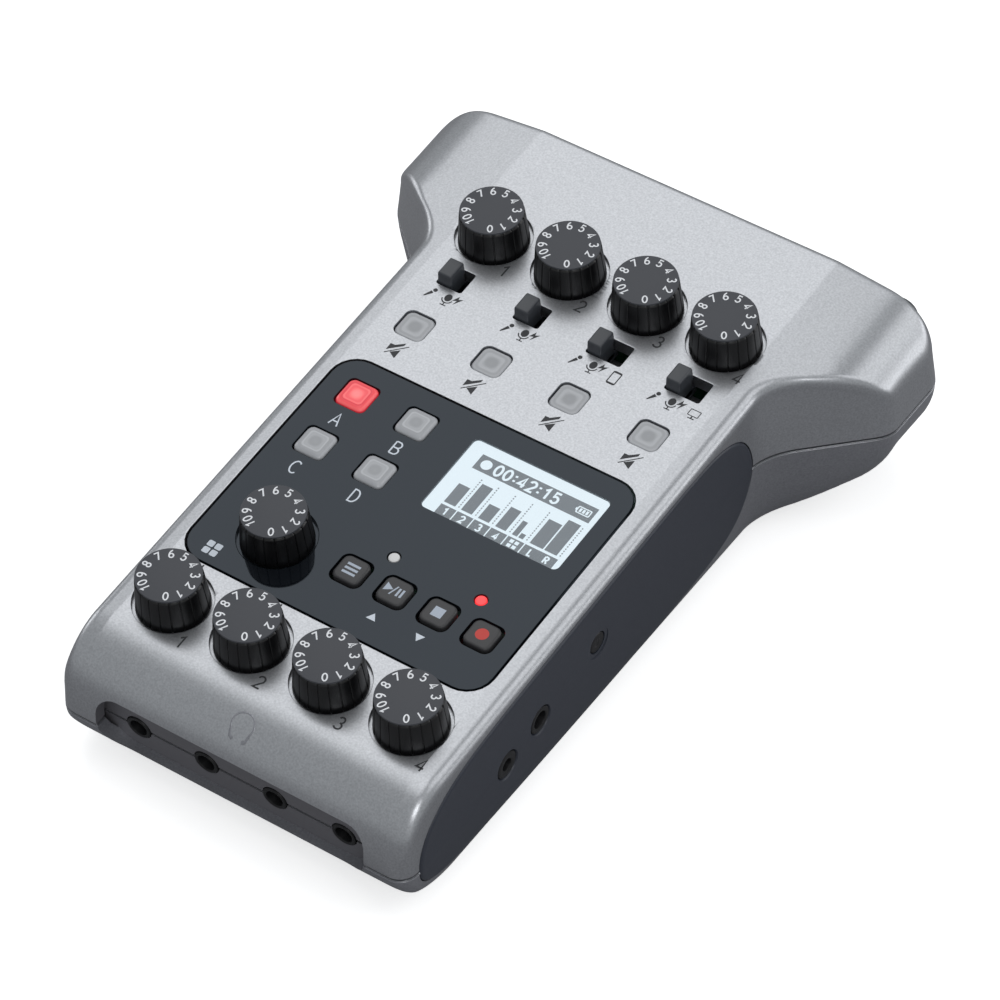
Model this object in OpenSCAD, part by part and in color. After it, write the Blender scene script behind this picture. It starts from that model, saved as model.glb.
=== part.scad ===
// Hand-sized four-channel podcast recorder: wedge-shaped two-shell case, dial knobs, pads and keys.
// Most pieces are laid out in the deck frame: origin at the control panel's centre on the deck,
// X to the right, Y along the deck to the sockets, Z out of the deck.

/* [Case] */
// Slope of the deck against the table, in degrees
deck_tilt = 5.5; // [4.5:0.5:6.5]
// Height of the deck above the table at the control panel's centre
deck_height = 33.3; // [33:0.1:35]
// Deck distance from the panel's centre to the nose
front_reach = 59.8; // [59:0.2:62]
// Deck distance from the panel's centre to the socket face
rear_reach = 96.2; // [95:0.2:99]
// Half width of the head at the seam
head_half = 57.5; // [56.5:0.5:60]
// Half width of the body at the seam
body_half = 39; // [39:0.5:41]
// How far the head's walls lean in from the seam to the deck
head_lean = 2.4; // [1.5:0.1:3]
// Wall of the two shells
wall = 2.6; // [2.4:0.1:2.8]
// Thickness of the deck
deck_wall = 3.0; // [2.8:0.1:3.2]
// Depth of the seam below the deck at the panel's centre
seam_drop = 17.4; // [17:0.1:18]
// Fall of the seam towards the socket face, against the deck
seam_fall = 0.0345; // [0.03:0.0005:0.04]
// Open line between the two shells
seam_gap = 0.25; // [0.2:0.05:0.4]
// Half width of the flat middle of the deck
crease_half = 33.8; // [33:0.2:35]
// Fall of the wings beyond the flat middle
wing_fall = 0.128; // [0.1:0.004:0.15]
// Edge radius along the body
body_edge = 2.7; // [2:0.1:3.2]
// Edge radius at the ends of the head
head_edge = 9.5; // [7:0.5:10]
// Length over which the deck rolls down to the nose
front_roll = 13.8; // [12.6:0.2:14.4]
// Length over which the underside rolls up to the nose
chin_roll = 15.2; // [14:0.2:16]
// Height of the rubber feet below the case
foot_height = 1.0; // [0.8:0.1:1.5]

/* [Controls] */
// Distance from the body's side to the outer channels
channel_inset = 12.6; // [12.2:0.1:13]
// Place of the input knobs along the deck
input_row = 66.9; // [66.4:0.1:67.4]
// Place of the output knobs along the deck
output_row = -38; // [-38.5:0.1:-37.6]
// Radius of a knob at its top
knob_top_r = 6.36; // [6:0.02:6.6]
// Radius of a knob at its skirt
knob_skirt_r = 6.6; // [6.4:0.05:6.9]
// Height of a knob's top above the deck
knob_height = 7.35; // [6.5:0.05:8]
// Radius of the well around a knob
well_r = 7.65; // [7.5:0.05:7.9]
// Depth of the well around a knob
well_depth = 0.8; // [0.6:0.1:1]
// Radius of a control shaft
shaft_r = 2.5; // [2.2:0.1:2.6]
// Place of the selector slots along the deck
slot_row = 53.9; // [53.5:0.1:54.3]
// Size of a selector slot across its travel
slot_depth = 5.5; // [5.2:0.1:5.8]
// Length of a two-position selector slot
short_slot = 5.8; // [5.6:0.1:6]
// Length of a three-position selector slot
long_slot = 7.8; // [7.6:0.1:8]
// Width of a selector cap along its travel
cap_width = 2.9; // [2.7:0.1:3]
// Height of a selector cap above the deck
cap_height = 3.4; // [3:0.1:3.8]
// Place of the mute keys along the deck
mute_row = 39.9; // [39.5:0.1:40.2]
// Side of a mute key's opening
mute_hole = 5.9; // [5.6:0.1:6.2]
// Width of the control panel
panel_w = 67.3; // [66.8:0.1:67.8]
// Depth of the control panel
panel_d = 56; // [55.5:0.1:56.5]
// Corner radius of the control panel
panel_corner = 5.5; // [4:0.5:6]
// Thickness of the control panel
panel_thick = 1.5; // [1.3:0.1:1.6]
// Side of a sound pad's opening
pad_hole = 7.0; // [6.8:0.1:7.2]
// Height of a sound pad above the deck
pad_height = 2.0; // [1.5:0.1:2.4]
// Distance between the sound pads
pad_pitch = 13.55; // [13.3:0.05:13.8]
// Side of a transport key's opening
key_hole = 6.2; // [6:0.1:6.4]
// Distance between the transport keys
key_pitch = 9.6; // [9.4:0.1:9.8]
// Press travel of the keys and pads
key_travel = 0.6; // [0.4:0.1:0.7]
// Width of the display window
window_w = 30.3; // [29.5:0.1:30.6]
// Depth of the display window
window_d = 19; // [18.5:0.1:19.4]

/* [Connectors] */
// Distance between the microphone sockets
socket_pitch = 26.6; // [26.2:0.1:27]
// Depth of the microphone sockets' axis below the deck
socket_drop = 20.5; // [20:0.1:21]
// Radius of a microphone socket's collar
socket_r = 11.7; // [11:0.1:12]
// How far a socket's collar stands out of the rear face
socket_proud = 0.8; // [0.4:0.1:1.2]
// Radius of a socket's release latch
latch_r = 3.3; // [3:0.1:3.5]
// How far a release latch stands out of the rear face
latch_proud = 2.6; // [2:0.1:3.5]
// Press travel of a release latch
latch_travel = 1.5; // [1:0.1:1.8]
// Distance between the headphone jacks
jack_pitch = 15.25; // [15:0.05:15.5]
// Bore radius of a 3.5 mm jack
jack_bore_r = 1.8; // [1.75:0.01:1.85]
// Bore radius of the small side jack
small_bore_r = 1.3; // [1.25:0.01:1.35]
// Depth of the recess in front of the headphone jacks
recess_depth = 3.8; // [3.4:0.1:4.2]

/* [Inside] */
// Thickness of the circuit board
board_thick = 1.6; // [1.2:0.1:1.8]
// Depth of the board's upper face below the deck
board_drop = 9.0; // [8.8:0.1:9.4]
// Room beside the board up to the body's side
board_inset = 8; // [8:0.1:8.4]
// Diameter of an AA cell
cell_d = 14.0; // [13.8:0.1:14.2]
// Length of an AA cell
cell_len = 50.5; // [50:0.1:50.5]
// Place of the battery bay's middle along the table
bay_y = -13.5; // [-14:0.1:-13]
// Thickness of the battery cover
cover_thick = 1.6; // [1.4:0.1:1.7]

/* [Fits] */
// Clearance around keys, pads and caps
key_gap = 0.2; // [0.15:0.05:0.25]
// Seating gap under loose pieces
seat_gap = 0.3; // [0.2:0.05:0.4]
// Radial clearance of a running shaft
run_gap = 0.05; // [0.03:0.01:0.08]
// Clearance around fixed inserts
insert_gap = 0.15; // [0.1:0.05:0.2]

/* [Hidden] */
$fn = 48;
deck_y = -20.77;
front_corner = 4;
rear_corner = 5;
rear_roll = 1.6;
heel_roll = 4;
waist_seam = [55, 81];
waist_deck = [60, 80];
edge_blend = [66, 82];
body_under = 7;
head_under = 30;
body_square = 4.5;
head_square = 2.0;
waist_wall = 1.35;
inner_edge = 0.6;
body_lean = 0.6;
big = 300;
cover_gap = 0.25;
cover_corner = 3;

channel_pitch = (body_half - channel_inset) / 1.5;
channel_x = [for (i = [0:3]) (i - 1.5) * channel_pitch];
slot_len = [short_slot, short_slot, long_slot, long_slot];
pad_place = [for (j = [0, 1]) for (i = [0, 1]) [-25.8 + i * pad_pitch, 19.8 - j * pad_pitch]];
key_x = [for (i = [0:3]) -2.4 + i * key_pitch];
key_row = -15.45;
light_row = -8.7;
light_x = [key_x[0] + key_pitch / 2, key_x[2] + key_pitch / 2];
light_r = 1.15;
pad_knob_place = [-18.8, -15.9];
window_place = [14.4, 13.4];
window_corner = 1.2;
knob_place = concat(
    [for (x = channel_x) [x, input_row]],
    [for (x = channel_x) [x, output_row]],
    [pad_knob_place]);
shaft_hole_r = shaft_r + 2 * key_gap;
knob_ribs = 24;
rib_cut = 0.35;

board_half = body_half - board_inset;
board_top = -board_drop;
board_under = board_top - board_thick;
board_front = -52;
board_rear = 72;
pot_side = 9;
pot_top = -deck_wall - seat_gap;
shaft_foot = board_top + 1.2;
key_flange = 0.8;
flange_thick = 1.0;
flange_top = -deck_wall - seat_gap;
flange_under = flange_top - flange_thick;
plunger_top = flange_under - key_travel - 0.1;
tact_side = 6;
tact_top = plunger_top - 0.5;
plunger_r = 1.6;
switch_top = -5.5;
switch_margin = 3;
switch_depth = 4.6;

jack_x = [for (i = [0:3]) (i - 1.5) * jack_pitch];
recess_half = 29.8;
recess_top = -6.4;
recess_under = -21;
recess_corner = 4;
recess_y = -front_reach + recess_depth;
jack_wall = 2.0;
jack_barrel_r = 2.9;
jack_body = [7.4, 11, 8.4];
jack_z = -15.5;
phone_jack = [-17, -14.6];
small_jack = [-27.9, -15.7];
power_place = [2.3, -13.1];
power_r = 2.2;
power_flange_r = 3.2;
inside_x = body_half - body_lean - wall - seat_gap;
usb_place = [-14, -14.5];
usb_half = 3.0;
usb_r = 1.65;
card_place = [11.5, -12.35];
card_size = [25, 2.4];
card_body = [21.4, 27.6, 3.4];

socket_x = [for (i = [0:3]) (i - 1.5) * socket_pitch];
socket_bore_r = 9.6;
socket_insert_r = 7.2;
socket_back_r = 8.0;
socket_pin_r = 1.3;
socket_pin_circle = 4.4;
socket_len = 12;
socket_tail = 11;
socket_ring_depth = 10.5;
socket_insert_drop = 1.5;
latch_angle = 58.7;
latch_circle = socket_r + 1.3;
latch_len = 4;
latch_x = latch_circle * cos(latch_angle);
latch_z = latch_circle * sin(latch_angle) - socket_drop;

bay_half_x = cell_len / 2 + 2.75;
bay_half_y = cell_d + 2;
bay_wall = 1.2;
cell_gap = 0.4;
cell_tip = 1.2;
cell_tip_d = 5.5;
contact_r = 4;
cell_z = foot_height + cover_thick + cell_gap + cell_d / 2;
bay_top = cell_z + cell_d / 2 + 0.6;
ledge = 2;
cover_half_x = bay_half_x + ledge;
cover_half_y = bay_half_y + ledge;
hinge_r = cover_thick / 2 - 0.05;
hinge_pin_r = 0.5;
hinge_y = bay_y + cover_half_y - cover_thick / 2;
hinge_z = foot_height + cover_thick / 2;

screw_inset = 5.4;
screw_rows = [-55, 10, 42];
screw_place = [for (y = screw_rows) for (s = [-1, 1]) [s * (body_half - screw_inset), y]];
screw_len = 21;
screw_r = 0.95;
screw_head_r = 1.9;
screw_head = 1.4;
post_r = 2.3;
foot_half = 26;
foot_rows = [-55, 60];
foot_place = [for (y = foot_rows) for (s = [-1, 1]) [s * foot_half, y]];
foot_r = 4;
foot_sunk = 0.6;
standoff_inset = 2;
standoff_place = [[standoff_inset - board_half, 30.5], [board_half - standoff_inset, 30.5], [-8, -28.5],
    [24, -28.5]];
standoff_r = 1.8;

grip_skin = 1.5;
grip_proud = 0.3;
grip_edge = -2.4;
grip_points = [[36, grip_edge], [47, -3.4], [54.5, -8], [56.5, -17], [53, -26], [44, -31.5], [20, -31],
    [-10, -28.5], [-40, -25.5], [-53, -22.5], [-57, -17], [-53, -8], [-42, -3], [-25, grip_edge],
    [5, grip_edge]];

silver = [0.74, 0.75, 0.77];
gunmetal = [0.42, 0.43, 0.45];
black = [0.07, 0.07, 0.08];
slate = [0.16, 0.18, 0.21];
milky = [0.62, 0.64, 0.66];
steel = [0.6, 0.6, 0.62];

// Formulas of the case

function smooth(span, v) =
    let (u = min(1, max(0, (v - span[0]) / (span[1] - span[0]))))
    u * u * (3 - 2 * u);
function rise(u) = 1 - sqrt(1 - pow(min(1, max(0, u)), 2));
function seam_z(y) = -seam_drop - seam_fall * y;
function base_z(y, grow) = (foot_height + grow - deck_height - y * sin(deck_tilt)) / cos(deck_tilt);

// Loss of half width at the rounded front and rear corners
function corner_loss(y, inset) =
    front_corner * rise((inset + front_corner - front_reach - y) / front_corner)
    + rear_corner * rise((y - rear_reach + inset + rear_corner) / rear_corner);
function half_width(y, span, from, to, inset) =
    from + (to - from) * smooth(span, y) - corner_loss(y, inset)
    - inset * (1 + (waist_wall - 1) * 4 * smooth(span, y) * (1 - smooth(span, y)));
function seam_half(y, inset) = half_width(y, waist_seam, body_half, head_half, inset);
function deck_half(y, inset) = half_width(y, waist_deck, body_half - body_lean, head_half - head_lean, inset);

// Height of the deck and of the underside along the case
function deck_z(y, inset, top_inset) =
    -top_inset
    + (seam_z(-front_reach) + top_inset) * rise((inset + front_roll - front_reach - y) / front_roll)
    - rear_roll * rise((y - rear_reach + inset + rear_roll) / rear_roll);
function under_z(y, inset) =
    base_z(y, inset)
    + (seam_z(y) - base_z(y, inset)) * rise((inset + chin_roll - front_reach - y) / chin_roll)
    + heel_roll * rise((y - rear_reach + inset + heel_roll) / heel_roll);

// Right half of a cross-section, from the middle of the deck round to the middle of the underside
function half_section(y, inset, top_inset) =
    let (zt = deck_z(y, inset, top_inset), zs = seam_z(y), zb = under_z(y, inset))
    let (wt = deck_half(y, inset), ws = seam_half(y, inset), head = smooth(edge_blend, y))
    let (r = min(max(inner_edge, body_edge + (head_edge - body_edge) * head - inset), 0.6 * (zt - zs)))
    let (ze = zt - wing_fall * max(0, wt - r - crease_half))
    let (square = body_square + (head_square - body_square) * smooth(waist_seam, y))
    let (wf = ws - body_under - (head_under - body_under) * smooth(waist_seam, y))
    concat(
        [[0, zt], [min(crease_half, 0.945 * (wt - r)), zt]],
        [for (a = [0:30:90]) [wt - r + r * sin(a), ze - r * (1 - cos(a))]],
        [[ws, zs]],
        [for (v = [0.3, 0.55, 0.75, 0.88, 0.96, 1])
            [wf + (ws - wf) * pow(1 - pow(v, square), 1 / square), zs + (zb - zs) * v]],
        [[0, zb]]);
function section(y, inset, top_inset) =
    let (h = half_section(y, inset, top_inset), n = len(h))
    concat(
        [for (p = h) [p[0], y, p[1]]],
        [for (i = [n - 2:-1:1]) [-h[i][0], y, h[i][1]]]);
function stations(inset) = concat(
    [for (u = [0.015, 0.06, 0.15, 0.3, 0.5, 0.75]) inset - front_reach + u * front_roll],
    [inset - front_reach + chin_roll, -20, 20],
    [for (y = [waist_seam[0] - 3:3:waist_seam[1] + 1]) y],
    [for (u = [1, 0.75, 0.5, 0.25, 0.1, 0.02]) rear_reach - inset - u * rear_corner]);

// The case's whole form, drawn in by inset at the walls and by top_inset at the deck
module case_form(inset = 0, top_inset = 0) {
    rows = [for (y = stations(inset)) section(y, inset, top_inset)];
    n = len(rows[0]);
    m = len(rows);
    hub = [for (k = [0, m - 1]) [0, rows[k][0][1], seam_z(rows[k][0][1])]];
    sides = [for (i = [0:m - 2]) for (j = [0:n - 1]) let (k = (j + 1) % n) each [
        [i * n + j, (i + 1) * n + k, i * n + k],
        [i * n + j, (i + 1) * n + j, (i + 1) * n + k]]];
    front = [for (j = [0:n - 1]) [m * n, j, (j + 1) % n]];
    rear = [for (j = [0:n - 1]) [m * n + 1, (m - 1) * n + (j + 1) % n, (m - 1) * n + j]];
    polyhedron(concat([for (row = rows) each row], hub), concat(sides, front, rear));
}

// Closed smooth curve that follows hand-placed points, pushed out by grow
function pushed(points, grow) =
    let (c = [for (k = [0, 1]) (max([for (p = points) p[k]]) + min([for (p = points) p[k]])) / 2])
    [for (p = points) p + grow * (p - c) / norm(p - c)];
function smooth_loop(p, steps = 4) =
    let (n = len(p))
    [for (i = [0:n - 1]) for (k = [0:steps - 1])
        let (t = k / steps, a = p[i], b = p[(i + 1) % n], c = p[(i + 2) % n], d = p[(i + 3) % n])
        (pow(1 - t, 3) * a + (3 * t * t * t - 6 * t * t + 4) * b
            + (-3 * t * t * t + 3 * t * t + 3 * t + 1) * c + t * t * t * d) / 6];

module deck() {
    translate([0, deck_y, deck_height]) rotate([deck_tilt, 0, 0]) children();
}
// Everything above or below the seam plane, which the two shells meet with half the open line each
module above_seam() {
    translate([0, 0, -seam_drop]) rotate([-atan(seam_fall), 0, 0])
        translate([-big / 2, -big / 2, -seam_gap / 2]) cube([big, big, big / 2]);
}
module below_seam() {
    translate([0, 0, -seam_drop]) rotate([-atan(seam_fall), 0, 0])
        translate([-big / 2, -big / 2, seam_gap / 2 - big / 2]) cube([big, big, big / 2]);
}
module rounded_plate(w, d, r, h) {
    linear_extrude(h) {
        square([w - 2 * r, d], center = true);
        square([w, d - 2 * r], center = true);
        for (x = [-1, 1]) for (y = [-1, 1]) translate([x * (w / 2 - r), y * (d / 2 - r)]) circle(r);
    }
}
module block(x, y, z0, z1) {
    translate([-x / 2, -y / 2, z0]) cube([x, y, z1 - z0]);
}
module at_knobs() {
    for (p = knob_place) translate([p[0], p[1], 0]) children();
}
// A round hole or pin along X, at a deck place on the side of the case
module side_bar(place, r, x0, x1) {
    translate([x0, place[0], place[1]]) rotate([0, 90, 0]) cylinder(r = r, h = x1 - x0);
}
// A round hole or pin along Y
module end_bar(x, z, r, y0, y1) {
    translate([x, y0, z]) rotate([-90, 0, 0]) cylinder(r = r, h = y1 - y0);
}

// Openings of the deck

module deck_openings() {
    at_knobs() translate([0, 0, -big / 2]) cylinder(r = shaft_hole_r, h = big);
    for (i = [0:7]) translate([knob_place[i][0], knob_place[i][1], -well_depth])
        cylinder(r = well_r, h = big);
    for (i = [0:3]) {
        translate([channel_x[i], slot_row]) block(slot_len[i], slot_depth, -deck_wall - 1, big);
        translate([channel_x[i], mute_row]) block(mute_hole, mute_hole, -deck_wall - 1, big);
        translate(pad_place[i]) block(pad_hole, pad_hole, -deck_wall - 1, big);
        translate([key_x[i], key_row]) block(key_hole, key_hole, -deck_wall - 1, big);
    }
    for (x = light_x) translate([x, light_row, -deck_wall - 1]) cylinder(r = light_r + key_gap, h = big);
    translate(window_place) block(window_w, window_d, -deck_wall - 1, big);
    translate([0, 0, -panel_thick]) rounded_plate(panel_w, panel_d, panel_corner, big);
}

// Openings in the walls of both shells

module jack_recess() {
    translate([0, recess_y, (recess_top + recess_under) / 2]) rotate([90, 0, 0])
        rounded_plate(2 * recess_half, recess_top - recess_under, recess_corner, big);
}
module wall_openings() {
    jack_recess();
    for (x = jack_x) end_bar(x, jack_z, jack_barrel_r + insert_gap, -big, recess_y + big / 8);
    for (x = socket_x) {
        end_bar(x, -socket_drop, socket_r + insert_gap, rear_reach - 6, big);
        end_bar(x + latch_x, latch_z, latch_r + key_gap, rear_reach - 6, big);
    }
    side_bar(power_place, power_r + key_gap, body_half - 6, big);
    side_bar(phone_jack, jack_barrel_r + insert_gap, body_half - 6, big);
    side_bar(small_jack, jack_barrel_r + insert_gap, body_half - 6, big);
    usb_hole(usb_r + insert_gap, -big, 6 - body_half);
    translate([-big, card_place[0] - card_size[0] / 2, card_place[1] - card_size[1] / 2])
        cube([big + 6 - body_half, card_size[0], card_size[1]]);
    grip_prism(insert_gap, 4);
    mirror([1, 0, 0]) grip_prism(insert_gap, 4);
}
module usb_hole(r, x0, x1) {
    for (s = [-1, 1]) side_bar([usb_place[0] + s * usb_half, usb_place[1]], r, x0, x1);
    translate([x0, usb_place[0] - usb_half, usb_place[1] - r]) cube([x1 - x0, 2 * usb_half, 2 * r]);
}
module grip_prism(grow, reach) {
    translate([body_half - grip_skin - grow, 0, 0]) rotate([90, 0, 90])
        linear_extrude(grip_skin + grow + reach) polygon(smooth_loop(pushed(grip_points, grow)));
}
module jack_back_wall() {
    translate([-recess_half - 1, recess_y, recess_under + 1])
        cube([2 * recess_half + 2, jack_wall, recess_top - recess_under + 1]);
}

// Shells

module shell() {
    deck() difference() {
        case_form();
        case_form(wall, deck_wall);
    }
    deck() jack_back_wall();
}
module top_case() {
    color(silver) difference() {
        union() {
            shell();
            for (p = screw_place) translate([p[0], p[1], 8])
                cylinder(r = post_r, h = deck_height - 9.2 + (p[1] - deck_y) * tan(deck_tilt));
            deck() for (p = standoff_place) translate([p[0], p[1], board_top])
                cylinder(r = standoff_r, h = board_drop - deck_wall + 1);
        }
        deck() below_seam();
        deck() deck_openings();
        deck() wall_openings();
        for (p = screw_place) translate([p[0], p[1], 0]) cylinder(r = screw_r + run_gap, h = 24);
    }
}
module bottom_case() {
    color(gunmetal) difference() {
        union() {
            difference() {
                union() {
                    shell();
                    for (p = screw_place) translate([p[0], p[1], foot_height + 1])
                        cylinder(r = post_r, h = 24);
                }
                deck() above_seam();
            }
            translate([0, bay_y]) block(2 * (bay_half_x + bay_wall), 2 * (bay_half_y + bay_wall),
                foot_height + 1, bay_top + bay_wall);
        }
        deck() wall_openings();
        translate([0, bay_y]) block(2 * bay_half_x, 2 * bay_half_y, -1, bay_top);
        translate([0, bay_y, -1])
            rounded_plate(2 * (cover_half_x + cover_gap), 2 * (cover_half_y + cover_gap), cover_corner,
                1 + foot_height + cover_thick + seat_gap);
        translate([0, hinge_y]) block(2 * (cover_half_x + cover_gap), 2 * (hinge_r + cover_gap), -1,
            foot_height + cover_thick + seat_gap);
        hinge_bar(hinge_pin_r + insert_gap, cover_half_x + 1.8);
        for (p = screw_place) translate([p[0], p[1], 0]) {
            cylinder(r = screw_r + insert_gap, h = 30);
            cylinder(r = screw_head_r + insert_gap, h = foot_height + screw_head + 0.4);
        }
        for (p = foot_place) translate([p[0], p[1], -1])
            cylinder(r = foot_r + insert_gap, h = 1 + foot_height + foot_sunk);
    }
}
module grip() {
    intersection() {
        grip_prism(0, 3);
        case_form(-grip_proud, -grip_proud);
    }
}
module right_grip() {
    color(slate) deck() difference() {
        grip();
        side_bar(power_place, power_r + key_gap, 0, big);
        side_bar(phone_jack, jack_barrel_r + insert_gap, 0, big);
        side_bar(small_jack, jack_barrel_r + insert_gap, 0, big);
    }
}
module left_grip() {
    color(slate) deck() difference() {
        mirror([1, 0, 0]) grip();
        usb_hole(usb_r + insert_gap, -big, 0);
        translate([-big, card_place[0] - card_size[0] / 2, card_place[1] - card_size[1] / 2])
            cube([big, card_size[0], card_size[1]]);
    }
}

// Deck fittings

module control_panel() {
    color(slate) deck() difference() {
        translate([0, 0, -panel_thick])
            rounded_plate(panel_w - 2 * insert_gap, panel_d - 2 * insert_gap, panel_corner - insert_gap,
                panel_thick);
        for (i = [0:3]) {
            translate(pad_place[i]) block(pad_hole, pad_hole, -5, 5);
            translate([key_x[i], key_row]) block(key_hole, key_hole, -5, 5);
        }
        translate([pad_knob_place[0], pad_knob_place[1], -5]) cylinder(r = shaft_hole_r, h = 10);
        translate([pad_knob_place[0], pad_knob_place[1], -well_depth]) cylinder(r = well_r, h = 5);
        for (x = light_x) translate([x, light_row, -5]) cylinder(r = light_r + key_gap, h = 10);
        translate([window_place[0], window_place[1], -5])
            rounded_plate(window_w, window_d, window_corner, 10);
    }
}
module lcd_window() {
    color([0.8, 0.85, 0.9, 0.4]) deck() translate([window_place[0], window_place[1], -panel_thick])
        rounded_plate(window_w - 2 * run_gap, window_d - 2 * run_gap, window_corner - run_gap, panel_thick);
}
module lcd_module() {
    color("white") deck() translate(window_place) {
        block(window_w + 3, window_d + 3, flange_top - 2.4, flange_top);
        block(window_w - 2 * seat_gap, window_d - 2 * seat_gap, flange_top - 1, -panel_thick - run_gap);
    }
}
module dial_knob(place) {
    color(black) deck() translate([place[0], place[1], 0]) difference() {
        translate([0, 0, seat_gap - well_depth])
            cylinder(r1 = knob_skirt_r, r2 = knob_top_r, h = knob_height + well_depth - seat_gap);
        for (a = [0:360 / knob_ribs:359]) rotate(a) translate([knob_skirt_r - rib_cut, -0.3, -2])
            cube([2, 0.6, knob_height + 0.8]);
        translate([0, 0, -2]) cylinder(r = shaft_r + run_gap / 2, h = knob_height + 0.2);
    }
}
module shaft(place) {
    color(steel) deck() translate([place[0], place[1], shaft_foot])
        cylinder(r = shaft_r, h = knob_height - 2 - shaft_foot);
}
module selector(i) {
    x0 = channel_x[i] - slot_len[i] / 2 + seat_gap;
    color(black) deck() translate([x0 + cap_width / 2, slot_row]) {
        block(cap_width, slot_depth - 2 * seat_gap, flange_top - 1, cap_height);
        block(cap_width, slot_depth + 2, switch_top + seat_gap, flange_top);
    }
}
// A square key with a flange under the deck
module key(side, top) {
    block(side, side, flange_top - 0.2, top);
    block(side + 2 * key_flange, side + 2 * key_flange, flange_under, flange_top);
}
module mute_key(i) {
    color(milky) deck() translate([channel_x[i], mute_row]) key(mute_hole - 2 * key_gap, -0.5);
}
module sound_pad(i) {
    color(i == 0 ? [0.8, 0.2, 0.22] : milky) deck() translate(pad_place[i])
        key(pad_hole - 2 * key_gap, pad_height);
}
module transport_key(i) {
    color([0.22, 0.22, 0.23]) deck() translate([key_x[i], key_row]) key(key_hole - 2 * key_gap, 0.5);
}
module power_button() {
    color(black) deck() {
        side_bar(power_place, power_r, body_half - wall - 2, body_half);
        side_bar(power_place, power_flange_r, body_half - wall - 2 - seat_gap, inside_x);
    }
}

// Pieces on and around the board

module main_board() {
    color("darkgreen") deck() translate([-board_half, board_front, board_under])
        cube([2 * board_half, board_rear - board_front, board_thick]);
}
module pot_bodies() {
    color([0.3, 0.45, 0.4]) deck() at_knobs() difference() {
        block(pot_side, pot_side, board_top, pot_top);
        translate([0, 0, shaft_foot - seat_gap]) cylinder(r = shaft_r + run_gap, h = board_drop);
    }
}
module switch_bodies() {
    color(steel) deck() for (i = [0:3]) translate([channel_x[i], slot_row])
        block(slot_len[i] + switch_margin, switch_depth, board_top, switch_top);
}
module tact_switch(drop_to) {
    block(tact_side, tact_side, drop_to, tact_top);
    translate([0, 0, tact_top]) cylinder(r = plunger_r, h = plunger_top - tact_top);
}
module tact_switches() {
    x1 = body_half - wall - 2 - seat_gap - key_travel - 0.1;
    color(steel) deck() {
        for (i = [0:3]) {
            translate([channel_x[i], mute_row]) tact_switch(board_top);
            translate(pad_place[i]) tact_switch(board_top);
            translate([key_x[i], key_row]) tact_switch(board_top);
        }
        translate([board_half - 1.4, power_place[0] - 3, power_place[1] - 2])
            cube([x1 - board_half + 1.4, 6, board_under - power_place[1] + 2]);
    }
}
module led_lights() {
    color("white") deck() for (x = light_x) translate([x, light_row, board_top])
        cylinder(r = light_r, h = board_drop);
}
module headphone_jacks() {
    color(black) deck() for (x = jack_x) difference() {
        union() {
            end_bar(x, jack_z, jack_barrel_r, recess_y - 0.3, recess_y + jack_wall + 1);
            translate([x - jack_body[0] / 2, recess_y + jack_wall + seat_gap, jack_z - jack_body[0] / 2])
                cube([jack_body[0], jack_body[1], board_under - jack_z + jack_body[0] / 2]);
        }
        end_bar(x, jack_z, jack_bore_r, recess_y - 1, recess_y + jack_wall + jack_body[1] - 1.5);
    }
}
module side_jack(place, bore_r) {
    x0 = body_half - wall - seat_gap;
    difference() {
        union() {
            side_bar(place, jack_barrel_r, x0 - 1, body_half);
            translate([x0 - jack_body[1], place[0] - 3, place[1] - 3])
                cube([jack_body[1], 6, board_under - place[1] + 3]);
        }
        side_bar(place, bore_r, x0 - jack_body[1] + 1.5, body_half + 1);
    }
}
module side_jacks() {
    color(black) deck() {
        side_jack(phone_jack, jack_bore_r);
        side_jack(small_jack, small_bore_r);
    }
}
module usb_port() {
    difference() {
        union() {
            usb_hole(usb_r, -body_half, 8 - body_half);
            translate([-inside_x, usb_place[0] - 4.5, usb_place[1] - usb_r])
                cube([5.9, 9, board_under - usb_place[1] + usb_r]);
        }
        usb_hole(usb_r - 0.35, -big, 7 - body_half);
    }
}
module card_slot() {
    translate([-inside_x, card_place[0], card_place[1]]) difference() {
        translate([0, -card_body[1] / 2, board_under - card_place[1] - card_body[2]]) cube(card_body);
        translate([-1, -card_size[0] / 2, -card_size[1] / 2])
            cube([card_body[0], card_size[0], card_size[1]]);
    }
}
module left_ports() {
    color(steel) deck() {
        usb_port();
        card_slot();
    }
}
module xlr_sockets() {
    y1 = rear_reach + socket_proud;
    color(black) deck() for (x = socket_x) difference() {
        union() {
            end_bar(x, -socket_drop, socket_r, y1 - socket_len, y1);
            end_bar(x, -socket_drop, socket_back_r, y1 - socket_len - socket_tail, y1 - socket_len + 1);
        }
        difference() {
            end_bar(x, -socket_drop, socket_bore_r, y1 - socket_ring_depth, y1 + 1);
            end_bar(x, -socket_drop, socket_insert_r, y1 - socket_len + 1, y1 - socket_insert_drop);
        }
        for (a = [30, 150, 270])
            end_bar(x + socket_pin_circle * cos(a), socket_pin_circle * sin(a) - socket_drop,
                socket_pin_r, y1 - socket_len - 1, y1);
        end_bar(x + latch_x, latch_z, latch_r + key_gap, rear_reach - latch_len - latch_travel - 0.5, big);
    }
}

module socket_latch(i) {
    color([0.3, 0.3, 0.31]) deck()
        end_bar(socket_x[i] + latch_x, latch_z, latch_r, rear_reach - latch_len, rear_reach + latch_proud);
}

// Pieces of the underside, laid out on the table

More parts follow.
